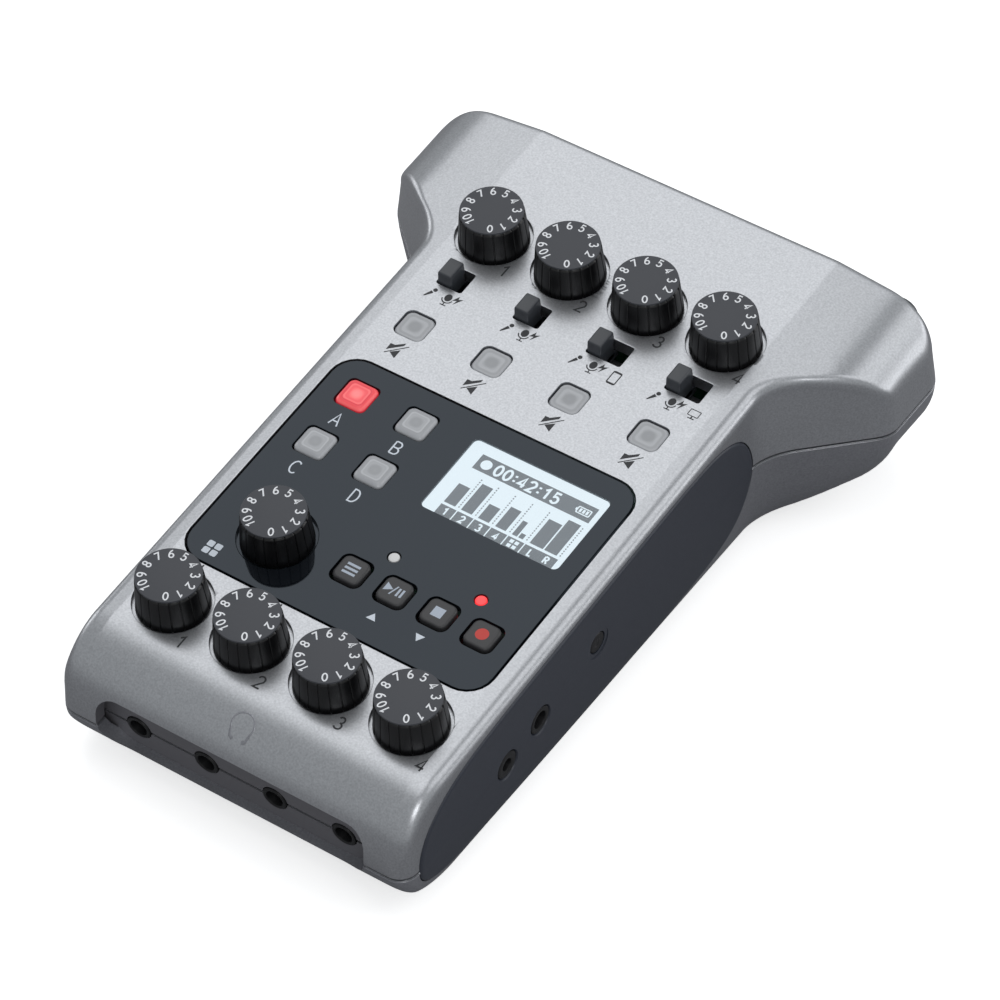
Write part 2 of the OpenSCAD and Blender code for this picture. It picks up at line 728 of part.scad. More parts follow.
module battery_cells() {
    color([0.2, 0.3, 0.5]) for (s = [-1, 1])
        translate([-cell_len / 2, bay_y + s * (cell_d / 2 + cell_gap), cell_z]) rotate([0, 90, 0]) {
            cylinder(d = cell_d, h = cell_len - cell_tip);
            cylinder(d = cell_tip_d, h = cell_len);
        }
}
module battery_contacts() {
    color("gold") for (s = [-1, 1]) for (t = [-1, 1])
        translate([t * (cell_len / 2 + seat_gap), bay_y + s * (cell_d / 2 + cell_gap), cell_z])
            rotate([0, t * 90, 0]) cylinder(r = contact_r, h = bay_half_x - cell_len / 2 - seat_gap);
}
// A round bar along X on the cover's hinge axis
module hinge_bar(r, half) {
    translate([-half, hinge_y, hinge_z]) rotate([0, 90, 0]) cylinder(r = r, h = 2 * half);
}
module battery_cover() {
    color(gunmetal) {
        intersection() {
            translate([0, bay_y, foot_height])
                rounded_plate(2 * cover_half_x, 2 * cover_half_y, cover_corner, cover_thick);
            translate([0, hinge_y - big / 2]) block(big, big, 0, 10);
        }
        hinge_bar(hinge_r, cover_half_x - cover_corner);
        hinge_bar(hinge_pin_r, cover_half_x + 1.5);
    }
}
module case_screws() {
    color(steel) for (p = screw_place) translate([p[0], p[1], foot_height + 0.4]) {
        cylinder(r = screw_head_r, h = screw_head);
        cylinder(r = screw_r, h = screw_len);
    }
}
module feet() {
    color(black) for (p = foot_place) translate([p[0], p[1], 0])
        cylinder(r = foot_r, h = foot_height + foot_sunk);
}

top_case();
bottom_case();
control_panel();
lcd_window();
lcd_module();
left_grip();
right_grip();
main_board();
xlr_sockets();
headphone_jacks();
side_jacks();
left_ports();
pot_bodies();
switch_bodies();
tact_switches();
led_lights();
battery_contacts();
battery_cells();
battery_cover();
case_screws();
feet();
power_button();
for (i = [1:4]) dial_knob(knob_place[i - 1]);
for (i = [1:4]) dial_knob(knob_place[i + 3]);
dial_knob(pad_knob_place);  // pad_knob
for (i = [1:4]) shaft(knob_place[i - 1]);
for (i = [1:4]) shaft(knob_place[i + 3]);
shaft(pad_knob_place);  // pad_shaft
for (i = [1:4]) selector(i - 1);
for (i = [1:4]) mute_key(i - 1);
for (i = [1:4]) sound_pad(i - 1);
for (i = [1:4]) transport_key(i - 1);
for (i = [1:4]) socket_latch(i - 1);
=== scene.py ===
import math
import bpy
import numpy as np
from mathutils import Matrix, Vector


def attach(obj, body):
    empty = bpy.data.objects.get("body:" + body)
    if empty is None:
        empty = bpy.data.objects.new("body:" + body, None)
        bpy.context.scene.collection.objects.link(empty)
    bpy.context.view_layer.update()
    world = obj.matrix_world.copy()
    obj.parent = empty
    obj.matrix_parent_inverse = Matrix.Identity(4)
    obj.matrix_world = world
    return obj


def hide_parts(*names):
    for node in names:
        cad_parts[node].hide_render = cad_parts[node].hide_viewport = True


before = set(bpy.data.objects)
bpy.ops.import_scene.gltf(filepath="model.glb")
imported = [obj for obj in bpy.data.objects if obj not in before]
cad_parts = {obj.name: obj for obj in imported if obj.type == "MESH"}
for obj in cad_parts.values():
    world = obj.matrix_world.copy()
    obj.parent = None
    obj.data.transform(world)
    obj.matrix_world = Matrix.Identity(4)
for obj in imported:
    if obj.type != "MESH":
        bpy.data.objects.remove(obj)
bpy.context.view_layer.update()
scene = bpy.context.scene
print("frame loaded:", len(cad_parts), "nodes")

# Shapes are written in millimetres in the deck frame: X right, Y to the sockets, Z out of the deck.
tilt = math.radians(5.5)
tableMatrix = Matrix.Scale(0.001, 4)
deckOrigin = (0, -20.77, 33.3)
deckToTable = Matrix.Translation(deckOrigin) @ Matrix.Rotation(tilt, 4, "X")
deckMatrix = tableMatrix @ deckToTable
tableToDeck = deckToTable.inverted()


# Materials

def srgb(r, g, b):
    return tuple((c / 255 / 12.92) if c < 11 else ((c / 255 + 0.055) / 1.055) ** 2.4 for c in (r, g, b)) + (1.0,)


def setInputs(node, values):
    for key, value in values.items():
        node.inputs[key.replace("_", " ")].default_value = value
    return node


def addNode(tree, kind, **values):
    return setInputs(tree.nodes.new(kind), values)


def wire(tree, *routes):
    for start, out, end, into in routes:
        tree.links.new(start.outputs[out], end.inputs[into])


def material(name, color, rough, **values):
    mat = bpy.data.materials.new(name)
    mat.use_nodes = True
    setInputs(mat.node_tree.nodes["Principled BSDF"], {"Base Color": srgb(*color), "Roughness": rough, **values})
    return mat


def addRamp(tree, stops):
    ramp = tree.nodes.new("ShaderNodeValToRGB")
    marks = ramp.color_ramp.elements
    while len(marks) < len(stops):
        marks.new(0.5)
    for mark, (place, color) in zip(marks, stops):
        mark.position = place
        mark.color = srgb(*color)
    return ramp


def addGrain(mat, scale, light, dark, bump):
    # fine speckle between two colours, and a slight relief
    tree = mat.node_tree
    shader = tree.nodes["Principled BSDF"]
    place = addNode(tree, "ShaderNodeTexCoord")
    noise = addNode(tree, "ShaderNodeTexNoise", Scale=scale, Detail=2.0)
    ramp = addRamp(tree, [(0.3, dark), (0.7, light)])
    relief = addNode(tree, "ShaderNodeBump", Strength=bump, Distance=0.00002)
    wire(tree, (place, "Object", noise, "Vector"), (noise, "Fac", ramp, "Fac"), (ramp, "Color", shader, "Base Color"),
         (noise, "Fac", relief, "Height"), (relief, "Normal", shader, "Normal"))


def addTone(mat, stops, glow=0.0):
    # colour by the mesh's own "tone" values
    tree = mat.node_tree
    shader = tree.nodes["Principled BSDF"]
    tone = addNode(tree, "ShaderNodeAttribute")
    tone.attribute_name = "tone"
    ramp = addRamp(tree, stops)
    wire(tree, (tone, "Fac", ramp, "Fac"), (ramp, "Color", shader, "Base Color"))
    if glow:
        wire(tree, (ramp, "Color", shader, "Emission Color"))
        setInputs(shader, {"Emission Strength": glow})


silver = material("silverPaint", (186, 188, 192), 0.32, Metallic=0.95)
addGrain(silver, 2600, (197, 199, 203), (177, 179, 183), 0.06)
gunmetal = material("gunmetalPaint", (156, 157, 163), 0.42, Metallic=0.7)
addGrain(gunmetal, 2600, (165, 166, 172), (147, 148, 154), 0.06)
recessPaint = material("recessPaint", (118, 117, 122), 0.5, Metallic=0.3)
panelGloss = material("panelGloss", (15, 18, 23), 0.06, Specular_IOR_Level=0.54, Specular_Tint=(0.76, 0.87, 1.0, 1.0))
gripRubber = material("gripRubber", (44, 48, 58), 0.38)
addGrain(gripRubber, 3000, (57, 61, 71), (51, 55, 65), 0.15)
blackPlastic = material("blackPlastic", (20, 20, 22), 0.42)
knobSkirt = material("knobSkirt", (12, 12, 14), 0.36)
knobFace = material("knobFace", (66, 68, 74), 0.5)
capPlastic = material("capPlastic", (62, 65, 70), 0.3)
keyPlastic = material("keyPlastic", (58, 58, 60), 0.42)
milky = material("milkyPlastic", (176, 178, 180), 0.3, Coat_Weight=0.25)
addTone(milky, [(0.0, (120, 122, 126)), (0.5, (164, 166, 170)), (1.0, (206, 208, 212))])
padRed = material("padRed", (200, 40, 50), 0.3, Coat_Weight=0.25)
addTone(padRed, [(0.0, (140, 18, 30)), (0.5, (206, 48, 60)), (1.0, (255, 120, 120))], 0.45)
lampWhite = material("lampWhite", (226, 226, 226), 0.35)
lampRed = material("lampRed", (250, 70, 70), 0.35, Emission_Color=srgb(255, 60, 64), Emission_Strength=0.9)
clearGlass = material("clearGlass", (225, 238, 245), 0.04, Alpha=0.06)
screenLit = material("screenLit", (10, 10, 10), 0.6, Emission_Color=srgb(228, 242, 250), Emission_Strength=1.0)
screenInk = material("screenInk", (10, 10, 10), 0.6, Emission_Color=srgb(104, 110, 116), Emission_Strength=1.0)
printDark = material("printDark", (52, 53, 56), 0.6)
printPale = material("printPale", (222, 230, 240), 0.5)
printSoft = material("printSoft", (182, 192, 206), 0.5)
printWhite = material("printWhite", (240, 242, 246), 0.5)
printRed = material("printRed", (206, 62, 54), 0.45)
steel = material("steel", (150, 150, 154), 0.35, Metallic=1.0)
contact = material("contactMetal", (196, 178, 130), 0.3, Metallic=1.0)
boardGreen = material("boardGreen", (24, 66, 44), 0.5)
cellWrap = material("cellWrap", (52, 66, 92), 0.35)
footRubber = material("footRubber", (26, 26, 28), 0.75)
print("materials made")


# Mesh helpers: a part is (points, faces)

def circleLoop(r, z, c=(0, 0), n=64):
    a = np.arange(n) * 2 * math.pi / n
    return np.stack([c[0] + r * np.cos(a), c[1] + r * np.sin(a), np.full(n, float(z))], 1)


def rectLoop(w, d, r, z, c=(0, 0), n=7):
    r = max(min(r, w / 2 - 1e-4, d / 2 - 1e-4), 1e-3)
    spots = []
    for k, (sx, sy) in enumerate([(1, 1), (-1, 1), (-1, -1), (1, -1)]):
        for a in np.linspace(k * math.pi / 2, (k + 1) * math.pi / 2, n):
            spots.append((c[0] + sx * (w / 2 - r) + r * math.cos(a), c[1] + sy * (d / 2 - r) + r * math.sin(a), z))
    return np.array(spots, float)


def stack(loops, caps=True):
    n = len(loops[0])
    faces = []
    for i in range(len(loops) - 1):
        for j in range(n):
            k = (j + 1) % n
            faces.append((i * n + j, i * n + k, (i + 1) * n + k, (i + 1) * n + j))
    if caps:
        faces.append(tuple(range(n - 1, -1, -1)))
        faces.append(tuple(range((len(loops) - 1) * n, len(loops) * n)))
    return np.concatenate(loops), faces


def rectStack(w, d, r, levels, c=(0, 0)):
    return stack([rectLoop(w + 2 * g, d + 2 * g, r + g, z, c) for z, g in levels])


def roundStack(r, levels, c=(0, 0), n=64):
    return stack([circleLoop(r + g, z, c, n) for z, g in levels])


def upright(low, high):
    # levels of a straight prism
    return [(low, 0), (high, 0)]


def lathe(profile, c=(0, 0), n=64):
    # closed ring of a profile of (radius, height) that runs from the outside bottom round to the inside
    loops = [circleLoop(r, z, c, n) for r, z in profile]
    points, faces = stack(loops + [loops[0]], caps=False)
    m = len(profile) * n
    return points[:m], [tuple(v % m for v in f) for f in faces]


def alongX(part):
    # local z to X, local x to Y, local y to Z
    p, f = part
    return p[:, [2, 0, 1]], f


def alongY(part):
    # local z to Y, local x to Z, local y to X
    p, f = part
    return p[:, [1, 2, 0]], f


def alongMinusX(part):
    # local z to -X, local x to Z, local y to Y
    p, f = part
    return np.stack([-p[:, 2], p[:, 1], p[:, 0]], 1), f


def moved(part, c):
    return part[0] + np.array((*c, 0.0)[:3]), part[1]


def lifted(parts, z, shift=(0, 0)):
    return [moved(part, (*shift, z)) for part in parts]


def mirrored(part):
    return part[0] * np.array([-1, 1, 1]), [f[::-1] for f in part[1]]


def merged(parts):
    points, faces, n = [], [], 0
    for p, f in parts:
        points.append(np.asarray(p, float))
        faces += [tuple(v + n for v in face) for face in f]
        n += len(p)
    return np.concatenate(points), faces


def signedArea(p):
    return np.sum(p[:, 0] * np.roll(p[:, 1], -1) - p[:, 1] * np.roll(p[:, 0], -1))


def nth(name, i):
    return f"{name}_{i + 1}"


def build(name, *parts):
    points, faces = merged(parts)
    mesh = bpy.data.meshes.new(name)
    mesh.from_pydata(points.tolist(), [], faces)
    mesh.update()
    obj = bpy.data.objects.new(name, mesh)
    scene.collection.objects.link(obj)
    return obj


def bake(obj):
    graph = bpy.context.evaluated_depsgraph_get()
    mesh = bpy.data.meshes.new_from_object(obj.evaluated_get(graph))
    old = obj.data
    obj.modifiers.clear()
    obj.data = mesh
    bpy.data.meshes.remove(old)


def drop(*objs):
    for obj in objs:
        mesh = obj.data
        bpy.data.objects.remove(obj)
        bpy.data.meshes.remove(mesh)


def cut(*parts):
    return "DIFFERENCE", merged(parts)


def join(*parts):
    return "UNION", merged(parts)


def carve(obj, *tools):
    # tools are cuts and joins, used in turn
    scratch = []
    for i, (operation, part) in enumerate(tools):
        tool = build(f"tool{i}", part)
        tool.hide_render = True
        scratch.append(tool)
        mod = obj.modifiers.new(f"carve{i}", "BOOLEAN")
        mod.operation = operation
        mod.solver = "MANIFOLD"
        mod.object = tool
    bake(obj)
    obj.data.materials.clear()
    drop(*scratch)


def finishPiece(obj, mat, body, nodes=(), matrix=deckMatrix, angle=32, weighted=False):
    mesh = obj.data
    mesh.transform(matrix)
    if mat is not None:
        mesh.materials.clear()
        mesh.materials.append(mat)
    mesh.polygons.foreach_set("use_smooth", [True] * len(mesh.polygons))
    mesh.set_sharp_from_angle(angle=math.radians(angle))
    if weighted:
        mod = obj.modifiers.new("weigh", "WEIGHTED_NORMAL")
        mod.keep_sharp = True
        bake(obj)
    obj.data.update()
    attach(obj, body)
    if nodes:
        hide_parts(*nodes)


# Copies at the vertices of a point mesh, turned by its "turn" values

copiesTree = bpy.data.node_groups.new("copiesOnPoints", "GeometryNodeTree")
sockets = [copiesTree.interface.new_socket(name, in_out=way, socket_type="NodeSocket" + kind) for name, way, kind in (
    ("Geometry", "INPUT", "Geometry"), ("Copy", "INPUT", "Object"), ("Paint", "INPUT", "Material"),
    ("Geometry", "OUTPUT", "Geometry"))]
copySocket, paintSocket = sockets[1:3]
nodeIn, nodeOut, copyInfo, turnValue, turnVector, onPoints, realize, setPaint = [
    copiesTree.nodes.new(kind) for kind in (
        "NodeGroupInput", "NodeGroupOutput", "GeometryNodeObjectInfo", "GeometryNodeInputNamedAttribute",
        "ShaderNodeCombineXYZ", "GeometryNodeInstanceOnPoints", "GeometryNodeRealizeInstances",
        "GeometryNodeSetMaterial")]
turnValue.data_type = "FLOAT"
setInputs(turnValue, {"Name": "turn"})
wire(copiesTree, (nodeIn, "Geometry", onPoints, "Points"), (nodeIn, "Copy", copyInfo, "Object"),
     (copyInfo, "Geometry", onPoints, "Instance"), (turnValue, "Attribute", turnVector, "Z"),
     (turnVector, "Vector", onPoints, "Rotation"), (onPoints, "Instances", realize, "Geometry"),
     (realize, "Geometry", setPaint, "Geometry"), (nodeIn, "Paint", setPaint, "Material"),
     (setPaint, "Geometry", nodeOut, "Geometry"))


def copies(name, part, places, turns, paint):
    # returns one part with a copy of the given part at each place
    source = build(name + "Source", part)
    spots = build(name, (np.array(places, float), []))
    turn = spots.data.attributes.new("turn", "FLOAT", "POINT")
    turn.data.foreach_set("value", np.array(turns, np.float32))
    mod = spots.modifiers.new("copies", "NODES")
    mod.node_group = copiesTree
    mod[copySocket.identifier] = source
    mod[paintSocket.identifier] = paint
    bake(spots)
    points = np.zeros(len(spots.data.vertices) * 3)
    spots.data.vertices.foreach_get("co", points)
    faces = [tuple(p.vertices) for p in spots.data.polygons]
    drop(source, spots)
    return points.reshape(-1, 3), faces


# Flat prints

def oval(c, rx, ry, start=0, end=360, n=22):
    a = np.radians(np.linspace(start, end, n))
    return [(c[0] + rx * math.cos(v), c[1] + ry * math.sin(v)) for v in a]


# Plain characters as pen paths in a box 0.6 wide and 1 high
bowl = [(0.11, 0.93), *oval((0.32, 0.72), 0.2, 0.21, 90, -90), (0.11, 0.51)]
penPaths = {
    "0": [oval((0.3, 0.5), 0.23, 0.43)],
    "1": [[(0.13, 0.73), (0.36, 0.93), (0.36, 0.07)]],
    "2": [oval((0.3, 0.68), 0.22, 0.25, 165, -28) + [(0.09, 0.07), (0.53, 0.07)]],
    "3": [oval((0.29, 0.72), 0.19, 0.21, 155, -90), oval((0.29, 0.29), 0.23, 0.22, 90, -155)],
    "4": [[(0.42, 0.07), (0.42, 0.93), (0.07, 0.3), (0.55, 0.3)]],
    "5": [[(0.5, 0.93), (0.15, 0.93), (0.11, 0.5)] + oval((0.29, 0.34), 0.23, 0.27, 138, -152)],
    "6": [oval((0.3, 0.31), 0.22, 0.24), oval((0.45, 0.31), 0.37, 0.62, 180, 96)],
    "7": [[(0.07, 0.93), (0.53, 0.93), (0.22, 0.07)]],
    "8": [oval((0.3, 0.72), 0.19, 0.21), oval((0.3, 0.29), 0.22, 0.22)],
    "9": [oval((0.3, 0.69), 0.22, 0.24), oval((0.15, 0.69), 0.37, 0.62, 0, -84)],
    "A": [[(0.04, 0.07), (0.3, 0.93), (0.56, 0.07)], [(0.14, 0.36), (0.46, 0.36)]],
    "B": [[(0.11, 0.07), (0.11, 0.93)], bowl,
          [(0.11, 0.51)] + oval((0.34, 0.29), 0.21, 0.22, 90, -90) + [(0.11, 0.07)]],
    "C": [oval((0.33, 0.5), 0.26, 0.43, 48, 312)],
    "D": [[(0.11, 0.07), (0.11, 0.93)] + oval((0.27, 0.5), 0.27, 0.43, 90, -90) + [(0.11, 0.07)]],
    "L": [[(0.14, 0.93), (0.14, 0.07), (0.5, 0.07)]],
    "R": [[(0.11, 0.07), (0.11, 0.93)], bowl, [(0.3, 0.5), (0.53, 0.07)]],
    ":": [[(0.3, 0.22), (0.3, 0.38)], [(0.3, 0.62), (0.3, 0.78)]],
}


def penLine(path, width, crown=0.0):
    # one strip along the points, mitred at the corners, flat or with a raised middle
    p = np.array(path, float)
    whole = np.allclose(p[0], p[-1])
    if whole:
        p = p[:-1]
        ahead = np.roll(p, -1, 0) - p
        behind = np.roll(ahead, 1, 0)
    else:
        step = np.diff(p, axis=0)
        ahead, behind = np.concatenate([step, step[-1:]]), np.concatenate([step[:1], step])
    ahead = ahead / np.linalg.norm(ahead, axis=1)[:, None]
    along = (ahead + behind / np.linalg.norm(behind, axis=1)[:, None]) / 2
    side = np.stack([-along[:, 1], along[:, 0]], 1) / np.maximum(0.2, np.sum(along ** 2, 1))[:, None] * width / 2
    n = len(p)
    rows = [(-1, 0.0), (0, crown), (1, 0.0)] if crown else [(-1, 0.0), (1, 0.0)]
    points = np.concatenate([np.concatenate([p + t * side, np.full((n, 1), z)], 1) for t, z in rows])
    faces = [(r * n + i, r * n + (i + 1) % n, (r + 1) * n + (i + 1) % n, (r + 1) * n + i)
             for r in range(len(rows) - 1) for i in range(n if whole else n - 1)]
    return points, faces


def glyph(chars, width):
    # a row of characters, one high, centred
    parts, x = [], 0.0
    for char in chars:
        step = 0.42 if char == ":" else 0.72
        for k, path in enumerate(penPaths[char]):
            parts.append(moved(penLine(path, width), (x + step / 2 - 0.3, -0.5, 0.002 * k)))
        x += step
    return moved(merged(parts), (-x / 2, 0))


def placed(part, size, c, z=0.0, turn=0.0):
    points, faces = part
    x = size * points[:, 0]
    y = size * points[:, 1]
    cosT, sinT = math.cos(turn), math.sin(turn)
    spots = np.stack([c[0] + x * cosT - y * sinT, c[1] + x * sinT + y * cosT, z + points[:, 2]], 1)
    return spots, faces


def polygon(*spots):
    points = np.array([(x, y, 0.0) for x, y in spots])
    order = tuple(range(len(points)))
    return points, [order if signedArea(points) > 0 else order[::-1]]


def bar(x0, y0, x1, y1):
    return polygon((x0, y0), (x1, y0), (x1, y1), (x0, y1))


def disc(r, c=(0, 0), n=32, stretch=1.0):
    points = circleLoop(r, 0, (0, 0), n)
    points[:, 1] *= stretch
    return moved((points, [tuple(range(n))]), c)


def band(outer, inner):
    # flat ring between two loops
    n = len(outer)
    return np.concatenate([outer, inner]), [(i, (i + 1) % n, n + (i + 1) % n, n + i) for i in range(n)]


# Case form

case = {
    "front": 59.8, "rear": 96.2, "headHalf": 58.1, "bodyHalf": 39.0, "headLean": 0.8, "wall": 2.6,
    "deckWall": 3.0, "seamDrop": 16.55, "seamFall": 0.0175, "seamGap": 0.7, "crease": 33.8, "wingFall": 0.128,
    "bodyEdge": 2.7, "headEdge": 13.5, "frontRoll": 13.8, "chinRoll": 15.2, "frontCorner": 4.0, "rearCorner": 6.5,
    "rearRoll": 1.6, "heelRoll": 4.0, "waistSeam": (54.0, 0.057), "waistDeck": (58.0, 0.069), "waistRun": 10.0,
    "waistBlend": 0.12, "waistUnder": (55, 81), "flankTaper": 0.0016, "bodyLean": 0.6, "wingSpare": 0.6,
    "flankEdge": 8.6, "edgeBlend": (68, 84), "bodyUnder": 7.0, "headUnder": 30.0, "bodySquare": 4.5, "headSquare": 2.0,
    "waistWall": 1.35, "innerEdge": 0.6, "footGap": 1.0,
}


def smooth(span, v):
    u = min(1.0, max(0.0, (v - span[0]) / (span[1] - span[0])))
    return u * u * (3 - 2 * u)


def rise(u):
    return 1 - math.sqrt(1 - min(1.0, max(0.0, u)) ** 2)


def frontRise(y, inset, key):
    return rise((inset + case[key] - case["front"] - y) / case[key])


def rearRise(y, inset, key):
    return rise((y - case["rear"] + inset + case[key]) / case[key])


def seamZ(y):
    return -case["seamDrop"] - case["seamFall"] * y


def baseZ(y, grow):
    return (case["footGap"] + grow - deckOrigin[2] - y * math.sin(tilt)) / math.cos(tilt)


def waist(y, start, slope):
    # share of the widening: a soft start, a straight flank and a small rounded corner
    u, run, blend = max(0.0, y - start), case["waistRun"], case["waistBlend"]
    ramp = slope * (u * u / (2 * run) if u < run else u - run / 2)
    full = 1 - case["flankTaper"] * (case["rear"] - y)
    overlap = max(0.0, blend - abs(ramp - full)) / blend
    return max(0.0, min(ramp, full) - overlap * overlap * blend / 4)


def halfWidth(y, span, narrow, wide, inset):
    s = waist(y, *span)
    loss = case["frontCorner"] * frontRise(y, inset, "frontCorner")
    loss += case["rearCorner"] * rearRise(y, inset, "rearCorner")
    return narrow + (wide - narrow) * s - loss - inset * (1 + (case["waistWall"] - 1) * 4 * s * (1 - s))


def wingArc(zt, inset):
    # centre, radius and start of the curve that ends the wing
    slope, wide = math.atan(case["wingFall"]), case["headEdge"] - inset
    x0 = case["headHalf"] - case["headLean"] + case["wingSpare"] - inset - wide
    return x0, zt - case["wingFall"] * (x0 - case["crease"]) - wide / math.cos(slope), wide, slope


def sectionFacts(y, inset=0.0, topInset=0.0):
    zs = seamZ(y)
    zt = -topInset + (seamZ(-case["front"]) + topInset) * frontRise(y, inset, "frontRoll")
    zt -= case["rearRoll"] * rearRise(y, inset, "rearRoll")
    zb = baseZ(y, inset)
    zb += (zs - zb) * frontRise(y, inset, "chinRoll")
    zb += case["heelRoll"] * rearRise(y, inset, "heelRoll")
    bodyTop, headTop = case["bodyHalf"] - case["bodyLean"], case["headHalf"] - case["headLean"]
    wt = halfWidth(y, case["waistDeck"], bodyTop, headTop, inset)
    ws = halfWidth(y, case["waistSeam"], case["bodyHalf"], case["headHalf"], inset)
    edge = case["bodyEdge"] + (case["flankEdge"] - case["bodyEdge"]) * smooth(case["edgeBlend"], y) - inset
    r = min(max(case["innerEdge"], edge), 0.6 * (zt - zs))
    x0, z0, wide, slope = wingArc(zt, inset)
    # the wall's edge rounds off into the straight wing or into the wing's own curve
    turn, ze = slope, zt - case["wingFall"] * max(0.0, wt - r - case["crease"]) - r / math.cos(slope)
    if wt - r - x0 > (wide - r) * math.sin(slope):
        turn = math.asin(min(0.97, (wt - r - x0) / (wide - r)))
        ze = z0 + (wide - r) * math.cos(turn)
    s = smooth(case["waistUnder"], y)
    square = case["bodySquare"] + (case["headSquare"] - case["bodySquare"]) * s
    wf = ws - case["bodyUnder"] - (case["headUnder"] - case["bodyUnder"]) * s
    return zt, zs, zb, wt, ws, r, ze, turn, square, wf


def halfSection(y, inset, topInset):
    zt, zs, zb, wt, ws, r, ze, turn, square, wf = sectionFacts(y, inset, topInset)
    x0, z0, wide, slope = wingArc(zt, inset)
    crease = min(case["crease"], 0.945 * (wt - r))
    spots = [(crease * u, zt) for u in (0, 0.2, 0.4, 0.6, 0.8, 0.95, 0.993)]
    spots.append((crease, zt))
    reach = wt - r + r * math.sin(turn) - crease
    for u in (0.02, 0.15, 0.3, 0.45, 0.57, 0.66, 0.74, 0.81, 0.87, 0.92, 0.965):
        x = crease + reach * u
        z = zt - case["wingFall"] * max(0.0, x - case["crease"])
        if x > x0 + wide * math.sin(slope):
            z = z0 + math.sqrt(max(0.0, wide * wide - (x - x0) ** 2))
        spots.append((x, z))
    spots += [(wt - r + r * math.sin(a), ze + r * math.cos(a)) for a in np.linspace(turn, math.pi / 2, 13)]
    spots += [(wt + (ws - wt) * u, ze + (zs - ze) * u) for u in (0.25, 0.5, 0.75, 1.0)]
    for v in np.sin(np.linspace(0, math.pi / 2, 22))[1:]:
        spots.append((wf + (ws - wf) * max(0.0, 1 - v ** square) ** (1 / square), zs + (zb - zs) * v))
    spots += [(wf * u, zb) for u in (0.75, 0.5, 0.25, 0.0)]
    return np.array(spots)


def caseStations(inset):
    front = inset - case["front"] + case["chinRoll"] * np.linspace(0.03, 1, 30) ** 2
    rear = case["rear"] - inset - 6 * np.linspace(1, 0, 18) ** 2
    middle = np.concatenate([np.linspace(-40, 48, 12), np.arange(52, rear[0] - 0.3, 0.5)])
    return np.concatenate([front, middle[middle > front[-1] + 0.5], rear])


def caseForm(inset=0.0, topInset=0.0):
    loops = []
    for y in caseStations(inset):
        h = halfSection(y, inset, topInset)
        ring = np.concatenate([h, h[-2:0:-1] * np.array([-1, 1])])
        loops.append(np.stack([ring[:, 0], np.full(len(ring), y), ring[:, 1]], 1))
    return stack(loops)


def halfSpace(up):
    # a big block above or below the seam, leaving half the open line
    span, far = 140.0, 90.0
    shift = case["seamGap"] / 2
    loops = []
    for k in (0, 1):
        corners = [(-span, -span), (span, -span), (span, span), (-span, span)]
        edge = -shift if up else shift
        z = [seamZ(y) + (edge if up == (k == 0) else (far if up else -far)) for x, y in corners]
        loops.append(np.array([(x, y, h) for (x, y), h in zip(corners, z)], float))
    return stack(loops)


def sideX(y, z):
    # half width of the case at a height
    zt, zs, zb, wt, ws, r, ze, turn, square, wf = sectionFacts(y)
    if z >= ze:
        return wt - r + math.sqrt(max(0.0, r * r - (z - ze) ** 2))
    if z >= zs:
        return wt + (ws - wt) * (ze - z) / (ze - zs)
    v = min(1.0, (zs - z) / (zs - zb))
    return wf + (ws - wf) * (1 - v ** square) ** (1 / square)


gripPoints = [(36, -2.4), (47, -3.4), (54.5, -8), (56.5, -17), (53, -26), (44, -31.5), (20, -31), (-10, -28.5),
              (-40, -25.5), (-53, -22.5), (-57, -17), (-53, -8), (-42, -3), (-25, -2.4), (5, -2.4)]


def gripOutline(grow=0.0, steps=10):
    p = np.array(gripPoints, float)
    c = (p.max(0) + p.min(0)) / 2
    away = p - c
    p = p + grow * away / np.linalg.norm(away, axis=1)[:, None]
    n = len(p)
    spots = []
    for i in range(n):
        a, b, d, e = p[i], p[(i + 1) % n], p[(i + 2) % n], p[(i + 3) % n]
        for k in range(steps):
            t = k / steps
            spots.append(((1 - t) ** 3 * a + (3 * t ** 3 - 6 * t ** 2 + 4) * b
                          + (-3 * t ** 3 + 3 * t ** 2 + 3 * t + 1) * d + t ** 3 * e) / 6)
    loop = np.array(spots)
    return loop if signedArea(loop) > 0 else loop[::-1]


def prism(outline, z0, z1):
    return stack([np.concatenate([outline, np.full((len(outline), 1), z)], 1) for z in (z0, z1)])


# Places of the controls

channelX = [(i - 1.5) * 17.6 for i in range(4)]
jackX = [(i - 1.5) * 15.25 for i in range(4)]
socketX = [(i - 1.5) * 26.6 for i in range(4)]
inputRow, outputRow, slotRow, muteRow, keyRow, lightRow = 66.9, -38.0, 53.9, 39.9, -15.45, -8.7
slotLen = [5.8, 5.8, 7.8, 7.8]
padPlace = [(-25.8, 19.8), (-12.25, 19.8), (-25.8, 6.25), (-12.25, 6.25)]
keyX = [-2.4 + 9.6 * i for i in range(4)]
lightX = [2.4, 21.6]
padKnob = (-18.8, -15.9)
window = {"c": (14.4, 13.4), "w": 30.3, "d": 19.0, "r": 1.2}
panel = {"w": 66.8, "d": 55.5, "r": 5.25, "thick": 1.5, "line": 0.4}
